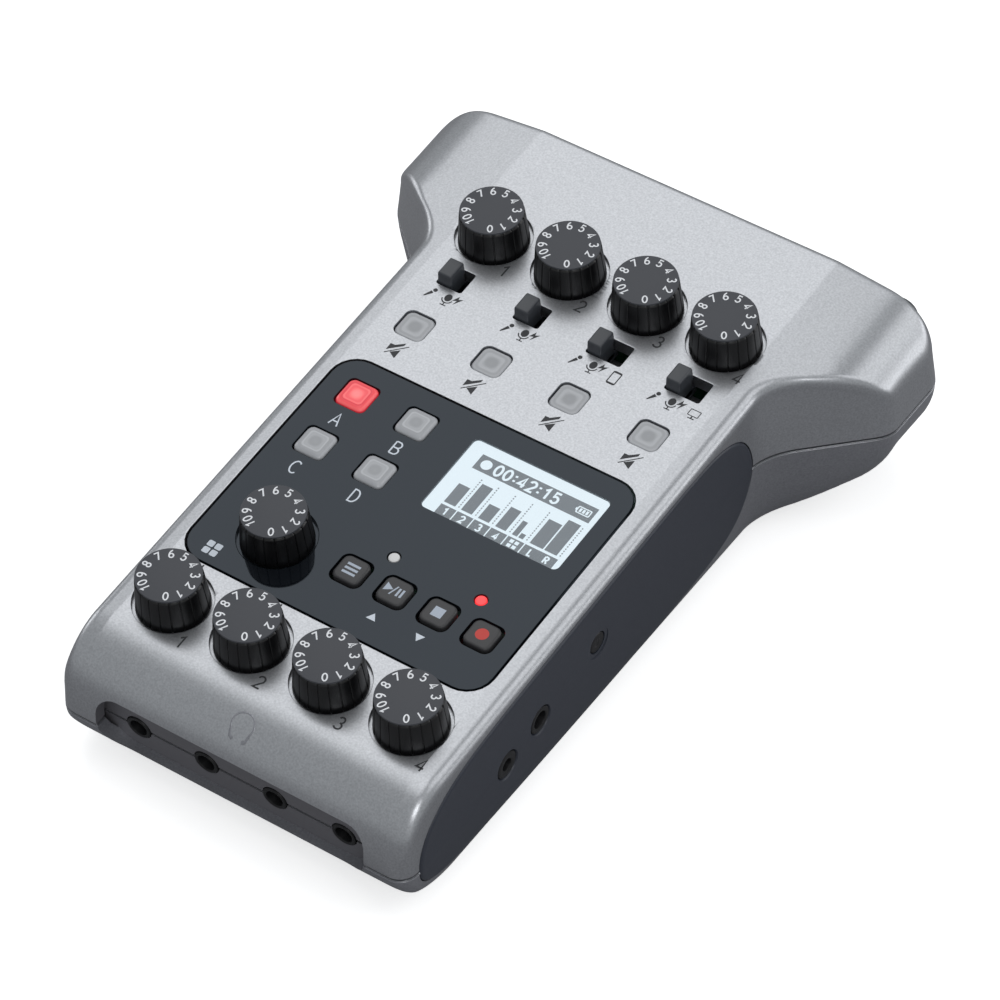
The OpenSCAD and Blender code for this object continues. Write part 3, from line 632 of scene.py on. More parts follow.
# side and corner of the square openings
opening = {"mute": (6.7, 1.6), "pad": (7.0, 1.2), "key": (6.9, 1.7)}
selectorSlot = {"wide": 5.5, "corner": 0.5, "edge": 0.1}
well = {"r": 7.65, "deep": 1.0, "padDeep": 0.8, "shaft": 2.9, "mouth": 8.4}
powerPlace, phoneJack, smallJack = (2.3, -13.1), (-17.0, -14.6), (-27.9, -15.7)
sideBores = [(2.4, powerPlace), (3.05, phoneJack), (3.05, smallJack)]
sidePorts = [((3.6, 9.6, 1.8), (-14.5, -14.0)), ((2.4, 25.0, 0.4), (-12.35, 11.5))]
socketZ, jackZ = -20.5, -15.5
socket = {"seat": 11.85, "bore": 9.6, "insert": 7.2, "pin": 1.3, "pinRing": 4.4}
latch = {"r": 3.3, "hole": 3.5, "away": 13.0, "turn": math.radians(58.7)}
latchUp, latchOut = latch["away"] * math.sin(latch["turn"]), latch["away"] * math.cos(latch["turn"])
latchSpots = [(socketZ + latchUp, x + latchOut) for x in socketX]
jack = {"front": 2.6, "side": 2.9, "bore": 1.8, "smallBore": 1.3}

# Shells

shellCuts = {"edge": 0.14, "recessY": -56.0, "recessHalf": 29.8, "recessTop": -7.9, "recessUnder": -21.0,
             "upperCorner": 4.2, "lowerCorner": 6.4}


def softHole(depth, edge, far=0.6):
    # levels of a hole from the deck with a softened upper edge
    return [(-depth, 0), (-edge, 0), (-edge * 0.3, edge * 0.25), (0, edge), (far, edge + far)]


def squareHole(kind, levels, c):
    side, corner = opening[kind]
    return rectStack(side, side, corner, levels, c)


def recessTool(corner):
    s = shellCuts
    midZ, high = (s["recessTop"] + s["recessUnder"]) / 2, s["recessTop"] - s["recessUnder"]
    return alongY(rectStack(high, 2 * s["recessHalf"], corner, [(-80, 0), (s["recessY"], 0)], (midZ, 0)))


def wallTools():
    rearSpan, sideSpan = upright(90, 110), upright(30, 45)
    outlets = [alongY(roundStack(jack["front"] + 0.15, upright(-57, -50), (jackZ, x))) for x in jackX]
    seats = [alongY(roundStack(socket["seat"], rearSpan, (socketZ, x))) for x in socketX]
    latches = [alongY(roundStack(latch["hole"], rearSpan, spot)) for spot in latchSpots]
    pocket = alongX(prism(gripOutline(0.15), 37.35, 45.0))
    bores = [alongX(roundStack(r, sideSpan, place)) for r, place in sideBores]
    bores += [alongMinusX(rectStack(*size, sideSpan, place)) for size, place in sidePorts]
    return outlets, seats, latches, [pocket, mirrored(pocket)], bores


def paintFaces(obj, mat, test):
    obj.data.materials.append(mat)
    slot = len(obj.data.materials) - 1
    for poly in obj.data.polygons:
        if test(poly.center, poly.normal):
            poly.material_index = slot


def onRecess(c, n):
    s = shellCuts
    return (abs(c.x) < s["recessHalf"] + 0.01 and c.y < s["recessY"] + 0.01
            and s["recessUnder"] - 0.01 < c.z < s["recessTop"] + 0.01
            and (abs(c.y - s["recessY"]) < 0.02 or (c.z > seamZ(c.y) and n.y > -0.9)))


def onWellWall(c, n):
    # the upright walls of the wells round the dials, which take black paint as painted shade
    if abs(n.z) > 0.3 or not -well["deep"] < c.z < 0:
        return False
    return any(7.3 < math.hypot(c.x - x, c.y - y) < 7.9 for x in channelX for y in (inputRow, outputRow))


outerForm = caseForm()
innerForm = caseForm(case["wall"], case["deckWall"])
wallCuts = [cut(*tools) for tools in wallTools()]
holeEdge = shellCuts["edge"]
wallHalf, wallFront, wallRear = 30.8, shellCuts["recessY"], -54.0
jackWall = stack([np.array([(-wallHalf, wallFront, z), (wallHalf, wallFront, z), (wallHalf, wallRear, z),
                            (-wallHalf, wallRear, z)], float) for z in (-20.0, -5.4)])

line, through = panel["line"], 6
deckHoles = [rectStack(panel["w"] + 2 * line, panel["d"] + 2 * line, panel["r"] + line, softHole(through, holeEdge))]
wellLevels = ((well["shaft"], -through), (well["shaft"], -well["deep"]), (well["r"], -well["deep"]),
              (well["r"], -holeEdge), (well["r"] + holeEdge * 0.3, -holeEdge * 0.3), (well["r"] + holeEdge, 0),
              (well["mouth"], 0.6))
for x, y in [(x, row) for row in (inputRow, outputRow) for x in channelX]:
    deckHoles.append(stack([circleLoop(r, z, (x, y)) for r, z in wellLevels]))
for i, x in enumerate(channelX):
    deckHoles.append(rectStack(slotLen[i], selectorSlot["wide"], selectorSlot["corner"],
                               softHole(through, selectorSlot["edge"]), (x, slotRow)))
    deckHoles.append(squareHole("mute", softHole(through, holeEdge), (x, muteRow)))

topShell = build("top_shell", outerForm)
carve(topShell, cut(innerForm), cut(recessTool(shellCuts["upperCorner"])), join(jackWall), cut(halfSpace(False)),
      cut(*deckHoles), *wallCuts)
topShell.data.materials.append(silver)
paintFaces(topShell, recessPaint, onRecess)
# painted shade: the silver well walls are painted black to stand for the shade in the gap round each dial
paintFaces(topShell, blackPlastic, onWellWall)
finishPiece(topShell, None, "case", ["top_case"], weighted=True)
print("top shell:", len(topShell.data.polygons), "faces")

door = {"w": 60.0, "d": 36.0, "y": -13.5, "bayTop": 17.4}
screwPlace = [(s * 33.6, y) for y in (-55, 10, 42) for s in (-1, 1)]
footPlace = [(s * 26.0, y) for y in (-55, 60) for s in (-1, 1)]


def onTable(part):
    points, faces = part
    return np.array([tuple(tableToDeck @ Vector(p)) for p in points]), faces


def doorForm(grow, corner, levels):
    return rectStack(door["w"] + grow, door["d"] + grow, corner, levels, (0, door["y"]))


tray = onTable(doorForm(-1.6, 1.0, upright(2, door["bayTop"] + 1.2)))
bay = onTable(doorForm(-4, 0.5, upright(-1, door["bayTop"])))
coverPocket = onTable(doorForm(0.5, 3.2, [(0, 0.5), (1, 0.2), (1.2, 0), (2.9, 0)]))
hinge = {"y": 3.7, "z": 1.8}


def hingeBar(r, half):
    return alongX(roundStack(r, upright(-half, half), (hinge["y"], hinge["z"]), 32))


hingeRoom = onTable(rectStack(door["w"] + 0.5, 2.0, 0.05, upright(-1, 2.9), (0, hinge["y"])))
screwBore = ((2.3, 0), (2.3, 0.9), (2.05, 1.15), (2.05, 2.8), (1.1, 2.8), (1.1, 30))
screwHoles = [onTable(stack([circleLoop(r, z, p, 32) for r, z in screwBore])) for p in screwPlace]
footHoles = [onTable(roundStack(4.15, upright(0, 1.6), p)) for p in footPlace]
bottomShell = build("bottom_shell", outerForm)
carve(bottomShell, cut(innerForm), cut(recessTool(shellCuts["lowerCorner"])), join(jackWall), cut(halfSpace(True)),
      join(tray), cut(bay), cut(coverPocket), cut(hingeRoom), cut(onTable(hingeBar(0.65, 31.8))), cut(*screwHoles),
      cut(*footHoles), *wallCuts)
bottomShell.data.materials.append(gunmetal)
paintFaces(bottomShell, recessPaint, onRecess)
finishPiece(bottomShell, None, "case", ["bottom_case"], weighted=True)
print("bottom shell:", len(bottomShell.data.polygons), "faces")

# Softened edge of the lower shell at the seam and round the recess: a real bevel facet, painted in the paler silver
# instead of the shell's gunmetal as a painted highlight

lip = {"up": 0.03, "down": 0.16, "proud": 0.03, "wide": 0.14}


def lipStrip(inside, outside):
    n = len(inside)
    return np.array(inside + outside, float), [(i, i + 1, n + i + 1, n + i) for i in range(n - 1)]


def seamLip(spots):
    p = np.array(spots, float)
    step = np.gradient(p, axis=0)
    away = np.stack([step[:, 1], -step[:, 0]], 1) / np.linalg.norm(step, axis=1)[:, None]
    level = [seamZ(y) - case["seamGap"] / 2 for x, y in spots]
    inside = [(*(q - lip["down"] * a), z + lip["up"]) for q, a, z in zip(p, away, level)]
    outside = [(*(q + lip["proud"] * a), z - lip["down"]) for q, a, z in zip(p, away, level)]
    return lipStrip(outside, inside)


def chinY(z):
    # front of the lower shell at a height
    near, far = -case["front"], -case["front"] + case["chinRoll"]
    for k in range(40):
        y = (near + far) / 2
        near, far = (y, far) if sectionFacts(y)[2] > z else (near, y)
    return near


def recessLip():
    s, r, wide = shellCuts, shellCuts["lowerCorner"], lip["wide"]
    turns = np.radians(np.linspace(0, 90, 16))
    half = [(s["recessHalf"] - r + r * math.cos(a), s["recessUnder"] + r - r * math.sin(a), math.cos(a), -math.sin(a))
            for a in turns]
    run = [(-x, z, -mx, mz) for x, z, mx, mz in half] + half[::-1]
    inside = [(x, chinY(z) + lip["down"], z) for x, z, mx, mz in run]
    outside = [(x + wide * mx, chinY(z + wide * mz) - lip["proud"], z + wide * mz) for x, z, mx, mz in run]
    return lipStrip(outside, inside)


def sideSpot(y):
    return sideX(y, seamZ(y) - case["seamGap"] / 2 - 0.02), y


lipRuns = [[sideSpot(y) for y in np.arange(54, 95.9, 0.8)]]
bend = [sideSpot(y) for y in -case["front"] + 6 * np.linspace(0.045, 1, 24) ** 2]
straight = np.linspace(shellCuts["recessHalf"] + 0.2, bend[0][0] - 0.3, 6)
lipRuns.append([(x, -case["front"] + 0.013) for x in straight] + bend)
lipParts = [recessLip()] + [seamLip(run) for run in lipRuns]
lipParts += [seamLip([(-x, y) for x, y in run[::-1]]) for run in lipRuns]
# painted highlight: the lip on the gunmetal lower shell takes the paler silver paint so the edge shows as a bright line
finishPiece(build("shell_lip", *lipParts), silver, "case")

# Grips

grip = {"inner": 37.5, "proud": 0.3, "edge": 0.7, "spine": (-36.0, 36.0, -15.5)}


def gripBody():
    outline = gripOutline(0.0, 12)
    spineA, spineB, spineZ = grip["spine"]
    hub = np.stack([np.clip(outline[:, 0], spineA, spineB), np.full(len(outline), spineZ)], 1)
    reach = np.linalg.norm(hub - outline, axis=1)[:, None]
    loops = [np.concatenate([np.full((len(outline), 1), grip["inner"]), outline], 1)]
    for d in (0, 0.03, 0.09, 0.18, 0.3, 0.45, 0.7, 1.2, 2.0, 3.2, 4.6, 6.2, 8, 9.8, 11.2):
        spots = outline + (hub - outline) * np.minimum(d / reach, 0.985)
        lift = grip["proud"] - grip["edge"] * rise(1 - d / grip["edge"])
        x = np.array([sideX(y, z) for y, z in spots]) + lift
        loops.append(np.concatenate([np.maximum(x, grip["inner"] + 0.2)[:, None], spots], 1))
    points, faces = stack(loops, caps=False)
    n, m = len(outline), len(loops)
    # one face closes the first ring, another the last one, along the spine
    faces.append(tuple(range(n - 1, -1, -1)))
    faces.append(tuple(range((m - 1) * n, m * n)))
    return points, faces


flares = [((3.3, 39.05), (3.5, 41))] + [((3.3, 39.3), (4, 41))] * 2
gripRight = build("grip_right", gripBody())
carve(gripRight, cut(*[alongX(stack([circleLoop(r, x, place, 48) for r, x in ((bore, 30), (bore, 39.0), *flare)]))
                       for (bore, place), flare in zip(sideBores, flares)]))
gripLeft = build("grip_left", mirrored(gripBody()))
carve(gripLeft, cut(*[alongMinusX(rectStack(*size, [(30, 0), (39.1, 0), (41, 1.5)], place))
                      for size, place in sidePorts]))
for obj, node in ((gripRight, "right_grip"), (gripLeft, "left_grip")):
    finishPiece(obj, gripRubber, "case", [node], angle=40)
print("grips made")

# Panel and display

plate = build("panel_plate", rectStack(panel["w"], panel["d"], panel["r"], [
    (-panel["thick"], 0), (-0.2, 0), (-0.06, -0.05), (0, -0.18)]))
panelHoles = [squareHole("pad", softHole(3, 0.12), p) for p in padPlace]
panelHoles += [squareHole("key", softHole(3, 0.12), (x, keyRow)) for x in keyX]
panelHoles += [roundStack(1.35, softHole(3, 0.05), (x, lightRow), 32) for x in lightX]
panelHoles.append(rectStack(window["w"], window["d"], window["r"], upright(-3, 1), window["c"]))
panelHoles.append(stack([circleLoop(r, z, padKnob) for r, z in (
    (well["shaft"], -3), (well["shaft"], -well["padDeep"]), (well["r"], -well["padDeep"]), (well["r"], -0.1),
    (7.72, -0.03), (7.8, 0), (well["mouth"], 0.6))]))
carve(plate, cut(*panelHoles))
finishPiece(plate, panelGloss, "case", ["control_panel"], weighted=True)

glass = build("display_glass", rectStack(window["w"] - 0.1, window["d"] - 0.1, 1.15, upright(-0.3, 0),
                                         window["c"]))
finishPiece(glass, clearGlass, "case", ["lcd_window"])
module = build("display_module", rectStack(33.3, 22.0, 0.3, upright(-5.7, -3.3), window["c"]),
               rectStack(30.1, 18.8, 1.1, upright(-3.2, -0.34), window["c"]))
finishPiece(module, screenLit, "case", ["lcd_module"])

screen = {"shift": (-0.03, 0.06), "z": -0.33}
marks = [bar(2.5, 16.5, 28.3, 20.3)]
levels = [(2.6, 5.1, 12.2), (6.4, 8.8, 14.3), (10.2, 12.6, 11.0), (14.0, 16.3, 12.5), (17.7, 18.8, 10.9),
          (19.1, 20.1, 8.3), (21.6, 24.5, 13.7), (24.8, 27.5, 15.4)]
marks += [bar(x0, 7.1, x1, top) for x0, x1, top in levels]
boxes = [(2.5, 5.9), (6.15, 9.65), (9.9, 13.4), (13.65, 17.15), (17.4, 20.9), (21.15, 28.3)]
marks += [bar(x0, 3.9, x1, 6.5) for x0, x1 in boxes]
for x in (5.65, 9.4, 13.15, 16.95, 20.7, 28.0):
    marks += [bar(x, 7.3 + 0.62 * k, x + 0.26, 7.6 + 0.62 * k) for k in range(13)]
lightMarks = [placed(glyph(str(i + 1), 0.2), 1.8, (sum(boxes[i]) / 2, 5.2)) for i in range(4)]
lightMarks += [placed(glyph("00:42:15", 0.18), 2.85, (13.6, 18.4)), disc(1.15, (4.5, 18.4))]
lightMarks += [moved(bar(-0.4, -0.4, 0.4, 0.4), (19.15 + sx, 5.2 + sy))
               for sx in (-0.55, 0.55) for sy in (-0.55, 0.55)]
lightMarks += [placed(glyph(side, 0.2), 1.8, (x, 5.2)) for side, x in (("L", 23.0), ("R", 26.4))]
lightMarks.append(band(rectLoop(3.0, 1.7, 0.3, 0, (26.1, 18.4)), rectLoop(2.5, 1.2, 0.15, 0, (26.1, 18.4))))
lightMarks += [bar(25.15 + 0.72 * k, 17.95, 25.65 + 0.72 * k, 18.85) for k in range(3)]
lightMarks.append(bar(24.35, 18.1, 24.6, 18.7))
ink = build("display_marks", *lifted(marks, screen["z"], screen["shift"]))
finishPiece(ink, screenInk, "case")
glow = build("display_figures", *lifted(lightMarks, screen["z"] + 0.01, screen["shift"]))
finishPiece(glow, screenLit, "case")
print("panel and display made")

# Knobs

knob = {"ribs": 20, "foot": -0.7, "skirt": 7.05, "rim": 6.42, "face": 6.27, "half": 8.45}


def ribPart():
    loops = []
    for z, r, half in ((knob["foot"], knob["skirt"], knob["half"]), (6.35, knob["rim"], knob["half"]),
                       (6.45, knob["rim"] - 0.04, knob["half"] - 0.1), (6.78, knob["rim"] - 0.36, knob["half"] - 0.8)):
        outline = [(a, r + s) for a, s in ((-1, -0.3), (-1, -0.12), (-0.9, -0.02), (-0.5, 0.0), (0, 0.0), (0.5, 0.0),
                                           (0.9, -0.02), (1, -0.12), (1, -0.3))] + [(1, 5.6), (-1, 5.6)]
        spots = [(math.radians(half * a), reach) for a, reach in outline]
        loops.append(np.array([(reach * math.cos(w), reach * math.sin(w), z) for w, reach in spots]))
    return stack(loops)


turns = [2 * math.pi * (k + 0.5) / knob["ribs"] for k in range(knob["ribs"])]
ribs = copies("ribs", ribPart(), [(0, 0, 0)] * knob["ribs"], turns, knobSkirt)
core = lathe([(knob["skirt"] - 0.22, knob["foot"]), (knob["rim"] - 0.22, 6.4), (6.02, 6.75), (6.02, 7.1), (5.5, 7.1),
              (5.5, 6.9), (2.6, 6.4), (2.6, knob["foot"])], n=96)
face = roundStack(knob["face"], [(7.0, 0), (7.28, 0), (7.33, -0.03), (7.35, -0.1)], n=96)
dial = []
for v in range(11):
    turn = math.radians(30 * (v - 5))
    dial.append(placed(glyph(str(v), 0.15), 1.92, (-4.9 * math.sin(turn), 4.9 * math.cos(turn)), 7.36, turn))
knobs = [(nth(kind + "_knob", i), nth(kind + "_dial", i), (x, row))
         for kind, row in (("input", inputRow), ("output", outputRow)) for i, x in enumerate(channelX)]
knobs.append(("pad_knob", "pad_dial", padKnob))
for node, body, c in knobs:
    skirt = build(node + "_skirt", moved(ribs, c), moved(core, c))
    finishPiece(skirt, knobSkirt, body, [node], angle=38)
    finishPiece(build(node + "_face", moved(face, c)), knobFace, body)
    finishPiece(build(node + "_numbers", *[moved(d, c) for d in dial]), printWhite, body)
print("knobs made")

# Keys and pads: a cap is a stack of rounded squares with a tone for each ring


def capPart(side, corner, foot, rings):
    loops, tones = [rectLoop(side, side, corner, foot)], [0.3]
    for s, z, tone, r in rings:
        loops.append(rectLoop(2 * s, 2 * s, min(r, s * 0.999), z))
        tones.append(tone)
    points, faces = stack(loops)
    return points, faces, np.repeat(tones, len(loops[0]))


def capPiece(i, names, cap, c, mat, slot, side):
    # a cap, and under it a flange with the given side
    name, body, node = [nth(n, i) for n in names]
    flange = rectStack(side, side, 0.6, upright(-4.3, -3.3))
    obj = build(name, moved(cap[:2], c), moved(flange, c))
    tone = obj.data.attributes.new("tone", "FLOAT", "POINT")
    values = np.full(len(obj.data.vertices), 0.4, np.float32)
    values[:len(cap[2])] = cap[2]
    tone.data.foreach_set("value", values)
    finishPiece(obj, mat, body, [node], angle=50)


padCap = capPart(6.6, 1.3, -3.5, [
    (3.3, -0.5, 0.35, 1.3), (3.26, -0.25, 0.5, 1.3), (3.12, 0.0, 0.7, 1.25), (2.9, 0.24, 0.74, 1.2),
    (2.62, 0.42, 0.62, 1.1), (2.35, 0.48, 0.5, 1.0), (2.15, 0.48, 0.46, 0.8), (2.05, 0.48, 0.74, 0.7),
    (1.85, 0.48, 0.78, 0.7), (1.7, 0.48, 0.62, 0.7), (1.4, 0.48, 0.64, 0.8), (1.15, 0.48, 0.5, 1.15),
    (0.95, 0.48, 0.44, 0.95), (0.5, 0.48, 0.46, 0.5), (0.05, 0.48, 0.48, 0.05)])
litCap = (padCap[0], padCap[1], padCap[2].copy())
ringSize = len(rectLoop(1, 1, 0.1, 0))
litCap[2][-ringSize * 4:] = np.repeat([0.8, 0.9, 1.0, 1.0], ringSize)
for i, c in enumerate(padPlace):
    look = (milky, "milky_plastic") if i else (padRed, "pad_red")
    capPiece(i, ("pad_cap", "pad", "sound_pad"), padCap if i else litCap, c, *look, 8.2)
muteCap = capPart(6.4, 1.4, -3.5, [
    (3.2, -0.75, 0.3, 1.4), (3.14, -0.5, 0.5, 1.4), (2.98, -0.34, 0.72, 1.3), (2.75, -0.3, 0.66, 1.2),
    (2.4, -0.3, 0.5, 1.0), (2.15, -0.3, 0.56, 0.9), (1.95, -0.3, 0.72, 0.8), (1.6, -0.3, 0.7, 0.8),
    (1.35, -0.3, 0.56, 1.1), (1.1, -0.3, 0.42, 1.1), (0.7, -0.3, 0.4, 0.7), (0.05, -0.3, 0.42, 0.05)])
for i, x in enumerate(channelX):
    capPiece(i, ("mute_cap", "mute", "mute_key"), muteCap, (x, muteRow), milky, "milky_plastic", 7.1)
keyCap = capPart(5.8, 1.35, -3.5, [
    (2.9, -0.15, 0.4, 1.35), (2.86, 0.15, 0.4, 1.33), (2.74, 0.36, 0.4, 1.25), (2.56, 0.47, 0.4, 1.15),
    (2.3, 0.5, 0.4, 1.0), (0.05, 0.5, 0.4, 0.05)])
play = [polygon((-2.1, -0.85), (-0.4, 0.15), (-2.1, 1.15)),
        polygon((-0.7, -1.15), (-0.4, -1.15), (0.35, 1.15), (0.05, 1.15)),
        bar(0.6, -0.95, 1.05, 0.95), bar(1.4, -0.95, 1.85, 0.95)]
symbols = [([bar(-1.4, y - 0.27, 1.4, y + 0.27) for y in (-1.0, 0, 1.0)], printSoft), (play, printSoft),
           ([bar(-1.12, -1.12, 1.12, 1.12)], printSoft), ([disc(1.3)], printRed)]
for i, x in enumerate(keyX):
    capPiece(i, ("key_cap", "transport", "transport_key"), keyCap, (x, keyRow), keyPlastic, "key_grey", 7.4)
    shapes, paint = symbols[i]
    symbol = build(nth("key_symbol", i), *[moved(shape, (x, keyRow, 0.512)) for shape in shapes])
    finishPiece(symbol, paint, nth("transport", i))
selectorLevels = [(0.08, 0), (2.2, -0.12), (2.5, -0.2), (2.66, -0.34), (2.7, -0.5)]
for i, x in enumerate(channelX):
    place = (x - slotLen[i] / 2 + 0.3 + 1.45, slotRow)
    stem = rectStack(2.9, 4.9, 0.3, upright(-4.3, 0.1), place)
    cap = rectStack(3.4, 4.9, 0.5, selectorLevels, (place[0] + 0.1, slotRow))
    foot = rectStack(2.9, 7.5, 0.3, upright(-5.2, -3.3), place)
    finishPiece(build(nth("selector_cap", i), cap, stem, foot), capPlastic, nth("selector_slide", i),
                [nth("selector", i)], angle=50)
lampLevels = [(-9, 0), (-0.35, 0), (-0.1, -0.12), (-0.02, -0.4), (0, -0.8)]
for name, x, mat in zip(("lamp_left", "lamp_right"), lightX, (lampWhite, lampRed)):
    lamp = build(name, roundStack(1.15, lampLevels, (x, lightRow), 32))
    finishPiece(lamp, mat, "case", ["led_lights"])
print("keys made")

# Prints on the deck and panel

prints = {"z": 0.012, "digit": 3.15, "letter": 3.5}
dark, pale = [], []
for i, x in enumerate(channelX):
    for spot in ((x + 6.85, inputRow - 6.6), (x + 6.95, outputRow - 7.0)):
        dark.append(placed(glyph(str(i + 1), 0.12), prints["digit"], spot))
    for row in (inputRow, outputRow):
        dark.append(bar(x - 0.17, row + 8.2, x + 0.17, row + 9.6))
handMic = [polygon((-0.92, -1.32), (-0.7, -1.45), (0.52, 0.08), (-0.14, 0.46)), disc(0.46, (0.46, 0.86), 20)]
studioMic = [disc(0.72, (0, 0.45), 24, 1.25), penLine(oval((0, 0.2), 1.05, 1.05, 190, 350, 20), 0.24),
             bar(-0.11, -1.5, 0.11, -0.8), bar(-0.6, -1.6, 0.6, -1.38)]
bolt = [polygon((-0.1, 0.95), (-0.72, -0.28), (-0.04, 0.02), (-0.25, -0.95), (0.72, 0.68), (0.03, 0.34))]
phone = [band(rectLoop(1.7, 2.9, 0.35, 0), rectLoop(1.3, 2.1, 0.1, 0)), disc(0.12, (0, -1.25), 12)]
monitor = [band(rectLoop(2.5, 1.8, 0.25, 0, (0, 0.3)), rectLoop(2.1, 1.4, 0.12, 0, (0, 0.3))),
           bar(-0.14, -1.1, 0.14, -0.6), bar(-0.75, -1.3, 0.75, -1.06)]
speaker = [polygon((-1.42, 1.03), (-0.45, 1.05), (1.2, 2.4), (1.2, 1.68), (-1.4, -0.72)),
           polygon((-0.4, -0.88), (1.25, 0.45), (1.25, -1.85)), penLine([(-1.3, -1.5), (2.2, 1.95)], 0.22)]


def shown(shapes, c, size=1.0):
    return [placed(s, size, c) for s in shapes]


for i, x in enumerate(channelX):
    left = x - (2.2 if i < 2 else 4.3)
    dark += shown(handMic, (left, 48.6))
    dark += shown(studioMic, (left + 3.7, 48.6), 1.05)
    dark += shown(bolt, (left + 5.62, 49.2), 1.3)
    if i == 2:
        dark += shown(phone, (left + 8.8, 48.4), 1.16)
    if i == 3:
        dark += shown(monitor, (left + 8.8, 48.5), 0.95)
    dark += shown(speaker, (x, 32.9))
for letter, (x, y) in zip("ABCD", padPlace):
    pale.append(placed(glyph(letter, 0.09), prints["letter"], (x + 0.1, y - 6.85)))
pale += [polygon((5.95, -22.9), (7.95, -22.9), (6.95, -21.3)), polygon((15.8, -21.1), (17.8, -21.1), (16.8, -22.7))]
for sx in (-0.85, 0.85):
    for sy in (-0.85, 0.85):
        loop = rectLoop(1.4, 1.4, 0.3, 0, (-27.4 + sx, -24.4 + sy))
        pale.append((loop, [tuple(range(len(loop)))]))
deckPrints = []
for p, f in dark:
    p = p.copy()
    # a print keeps one plane, that of the deck or of the wing
    wing = abs(p[:, 0]).min() > case["crease"]
    p[:, 2] += [prints["z"] - wing * case["wingFall"] * (abs(x) - case["crease"]) for x in p[:, 0]]
    deckPrints.append((p, f))
finishPiece(build("deck_prints", *deckPrints), printDark, "case")
finishPiece(build("panel_prints", *lifted(pale, prints["z"])), printPale, "case")

# Raised headset outline on the front slope, painted darker in gunmetal as painted shade of the relief
headset = [penLine(oval((0, 0.34), 2.328, 2.04, -35, 215, 40), 0.36, 0.14)]
headset += [penLine([(s * 2.0, -0.8), (s * 1.7, -1.7), (s * 1.0, -2.0)], 0.5, 0.14) for s in (1, -1)]


def onSlope(parts, cy):
    made = []
    for p, f in parts:
        p = p.copy()
        p[:, 1] += cy
        p[:, 2] += [sectionFacts(y)[0] + 0.02 for y in p[:, 1]]
        made.append((p, f))
    return made


# painted shade: the raised outline is silver on the real case and gets the darker gunmetal paint to stand for its
# shading
finishPiece(build("headset_mark", *onSlope(headset, -53.5)), gunmetal, "case", angle=80)
print("prints made")

# Jacks, ports and sockets

def jackRing(r, bore, front, back):
    # barrel from its face inwards, as radius and height along the axis
    return [(r, back), (r, front - 0.25), (r - 0.08, front - 0.08), (r - 0.28, front), (bore + 0.25, front),
            (bore + 0.06, front - 0.1), (bore, front - 0.3), (bore, back)]


jackParts = []
for x in jackX:
    points, faces = lathe(jackRing(jack["front"], jack["bore"], 0.3, -3.2), n=48)
    spots = np.stack([x + points[:, 0], shellCuts["recessY"] - points[:, 2], jackZ + points[:, 1]], 1)
    jackParts.append((spots, faces))
    jackParts.append(alongY(rectStack(7.4, 7.4, 0.4, upright(-52.6, -42.7), (jackZ, x))))
finishPiece(build("phone_outlets", *jackParts), blackPlastic, "case", ["headphone_jacks"])
sideParts = []
for place, bore in ((phoneJack, jack["bore"]), (smallJack, jack["smallBore"])):
    sideParts.append(alongX(moved(lathe(jackRing(jack["side"], bore, 39.15, 35.0), n=48), place)))
    sideParts.append(alongX(rectStack(6.0, 6.0, 0.4, upright(25.2, 35.2), place)))
finishPiece(build("side_outlets", *sideParts), blackPlastic, "case", ["side_jacks"])
buttonLevels = [(34.1, 1.0), (35.5, 1.0), (35.52, 0), (38.75, 0), (38.93, -0.1), (39.0, -0.35), (38.95, -1.0),
                (38.9, -2.1)]
button = alongX(roundStack(2.2, buttonLevels, powerPlace, 48))
finishPiece(build("power_cap", button), blackPlastic, "power", ["power_button"], angle=50)
powerSign = [penLine(oval((0, 0), 0.85, 0.85, 125, 415, 28), 0.2), penLine([(0, 0.35), (0, 1.15)], 0.2)]
powerMark = build("power_mark", *[alongX(moved(shape, (*powerPlace, 38.98))) for shape in powerSign])
finishPiece(powerMark, keyPlastic, "power")
print("jacks made")

socketLevels = ((8.0, 74), (8.0, 85), (11.7, 85.02), (11.7, 96.6), (11.6, 96.85), (11.35, 97.0))


def socketForm(levels, x):
    return alongY(stack([circleLoop(r, y, (socketZ, x), 72) for r, y in levels]))


socketBody = build("socket_set", *[socketForm(socketLevels, x) for x in socketX])
bore, insert, ring = socket["bore"], socket["insert"], socket["pinRing"]
mouths = [socketForm(((bore, 95.5), (bore, 98)), x) for x in socketX]
annulus = [(bore, 86.5), (bore, 95.6), (insert, 95.6), (insert, 86.5)]
annuli = [alongY(lathe(annulus, (socketZ, x), 72)) for x in socketX]
pinSpots = [(socketZ + ring * math.sin(a), x + ring * math.cos(a)) for x in socketX for a in np.radians((30, 150, 270))]
pins = [alongY(roundStack(socket["pin"], upright(84, 96), spot, 24)) for spot in pinSpots]
latchCuts = [alongY(roundStack(latch["hole"], upright(90.2, 110), spot, 48)) for spot in latchSpots]
carve(socketBody, cut(*mouths), cut(*annuli), cut(*pins), cut(*latchCuts))
finishPiece(socketBody, blackPlastic, "case", ["xlr_sockets"])
latchLevels = [(92.2, 0), (98.2, 0), (98.55, -0.12), (98.75, -0.4), (98.8, -0.9)]
for i, spot in enumerate(latchSpots):
    latchCap = build(nth("latch_cap", i), alongY(roundStack(latch["r"], latchLevels, spot, 48)))
    finishPiece(latchCap, capPlastic, nth("latch", i), [nth("socket_latch", i)], angle=50)
print("sockets made")

# Underside

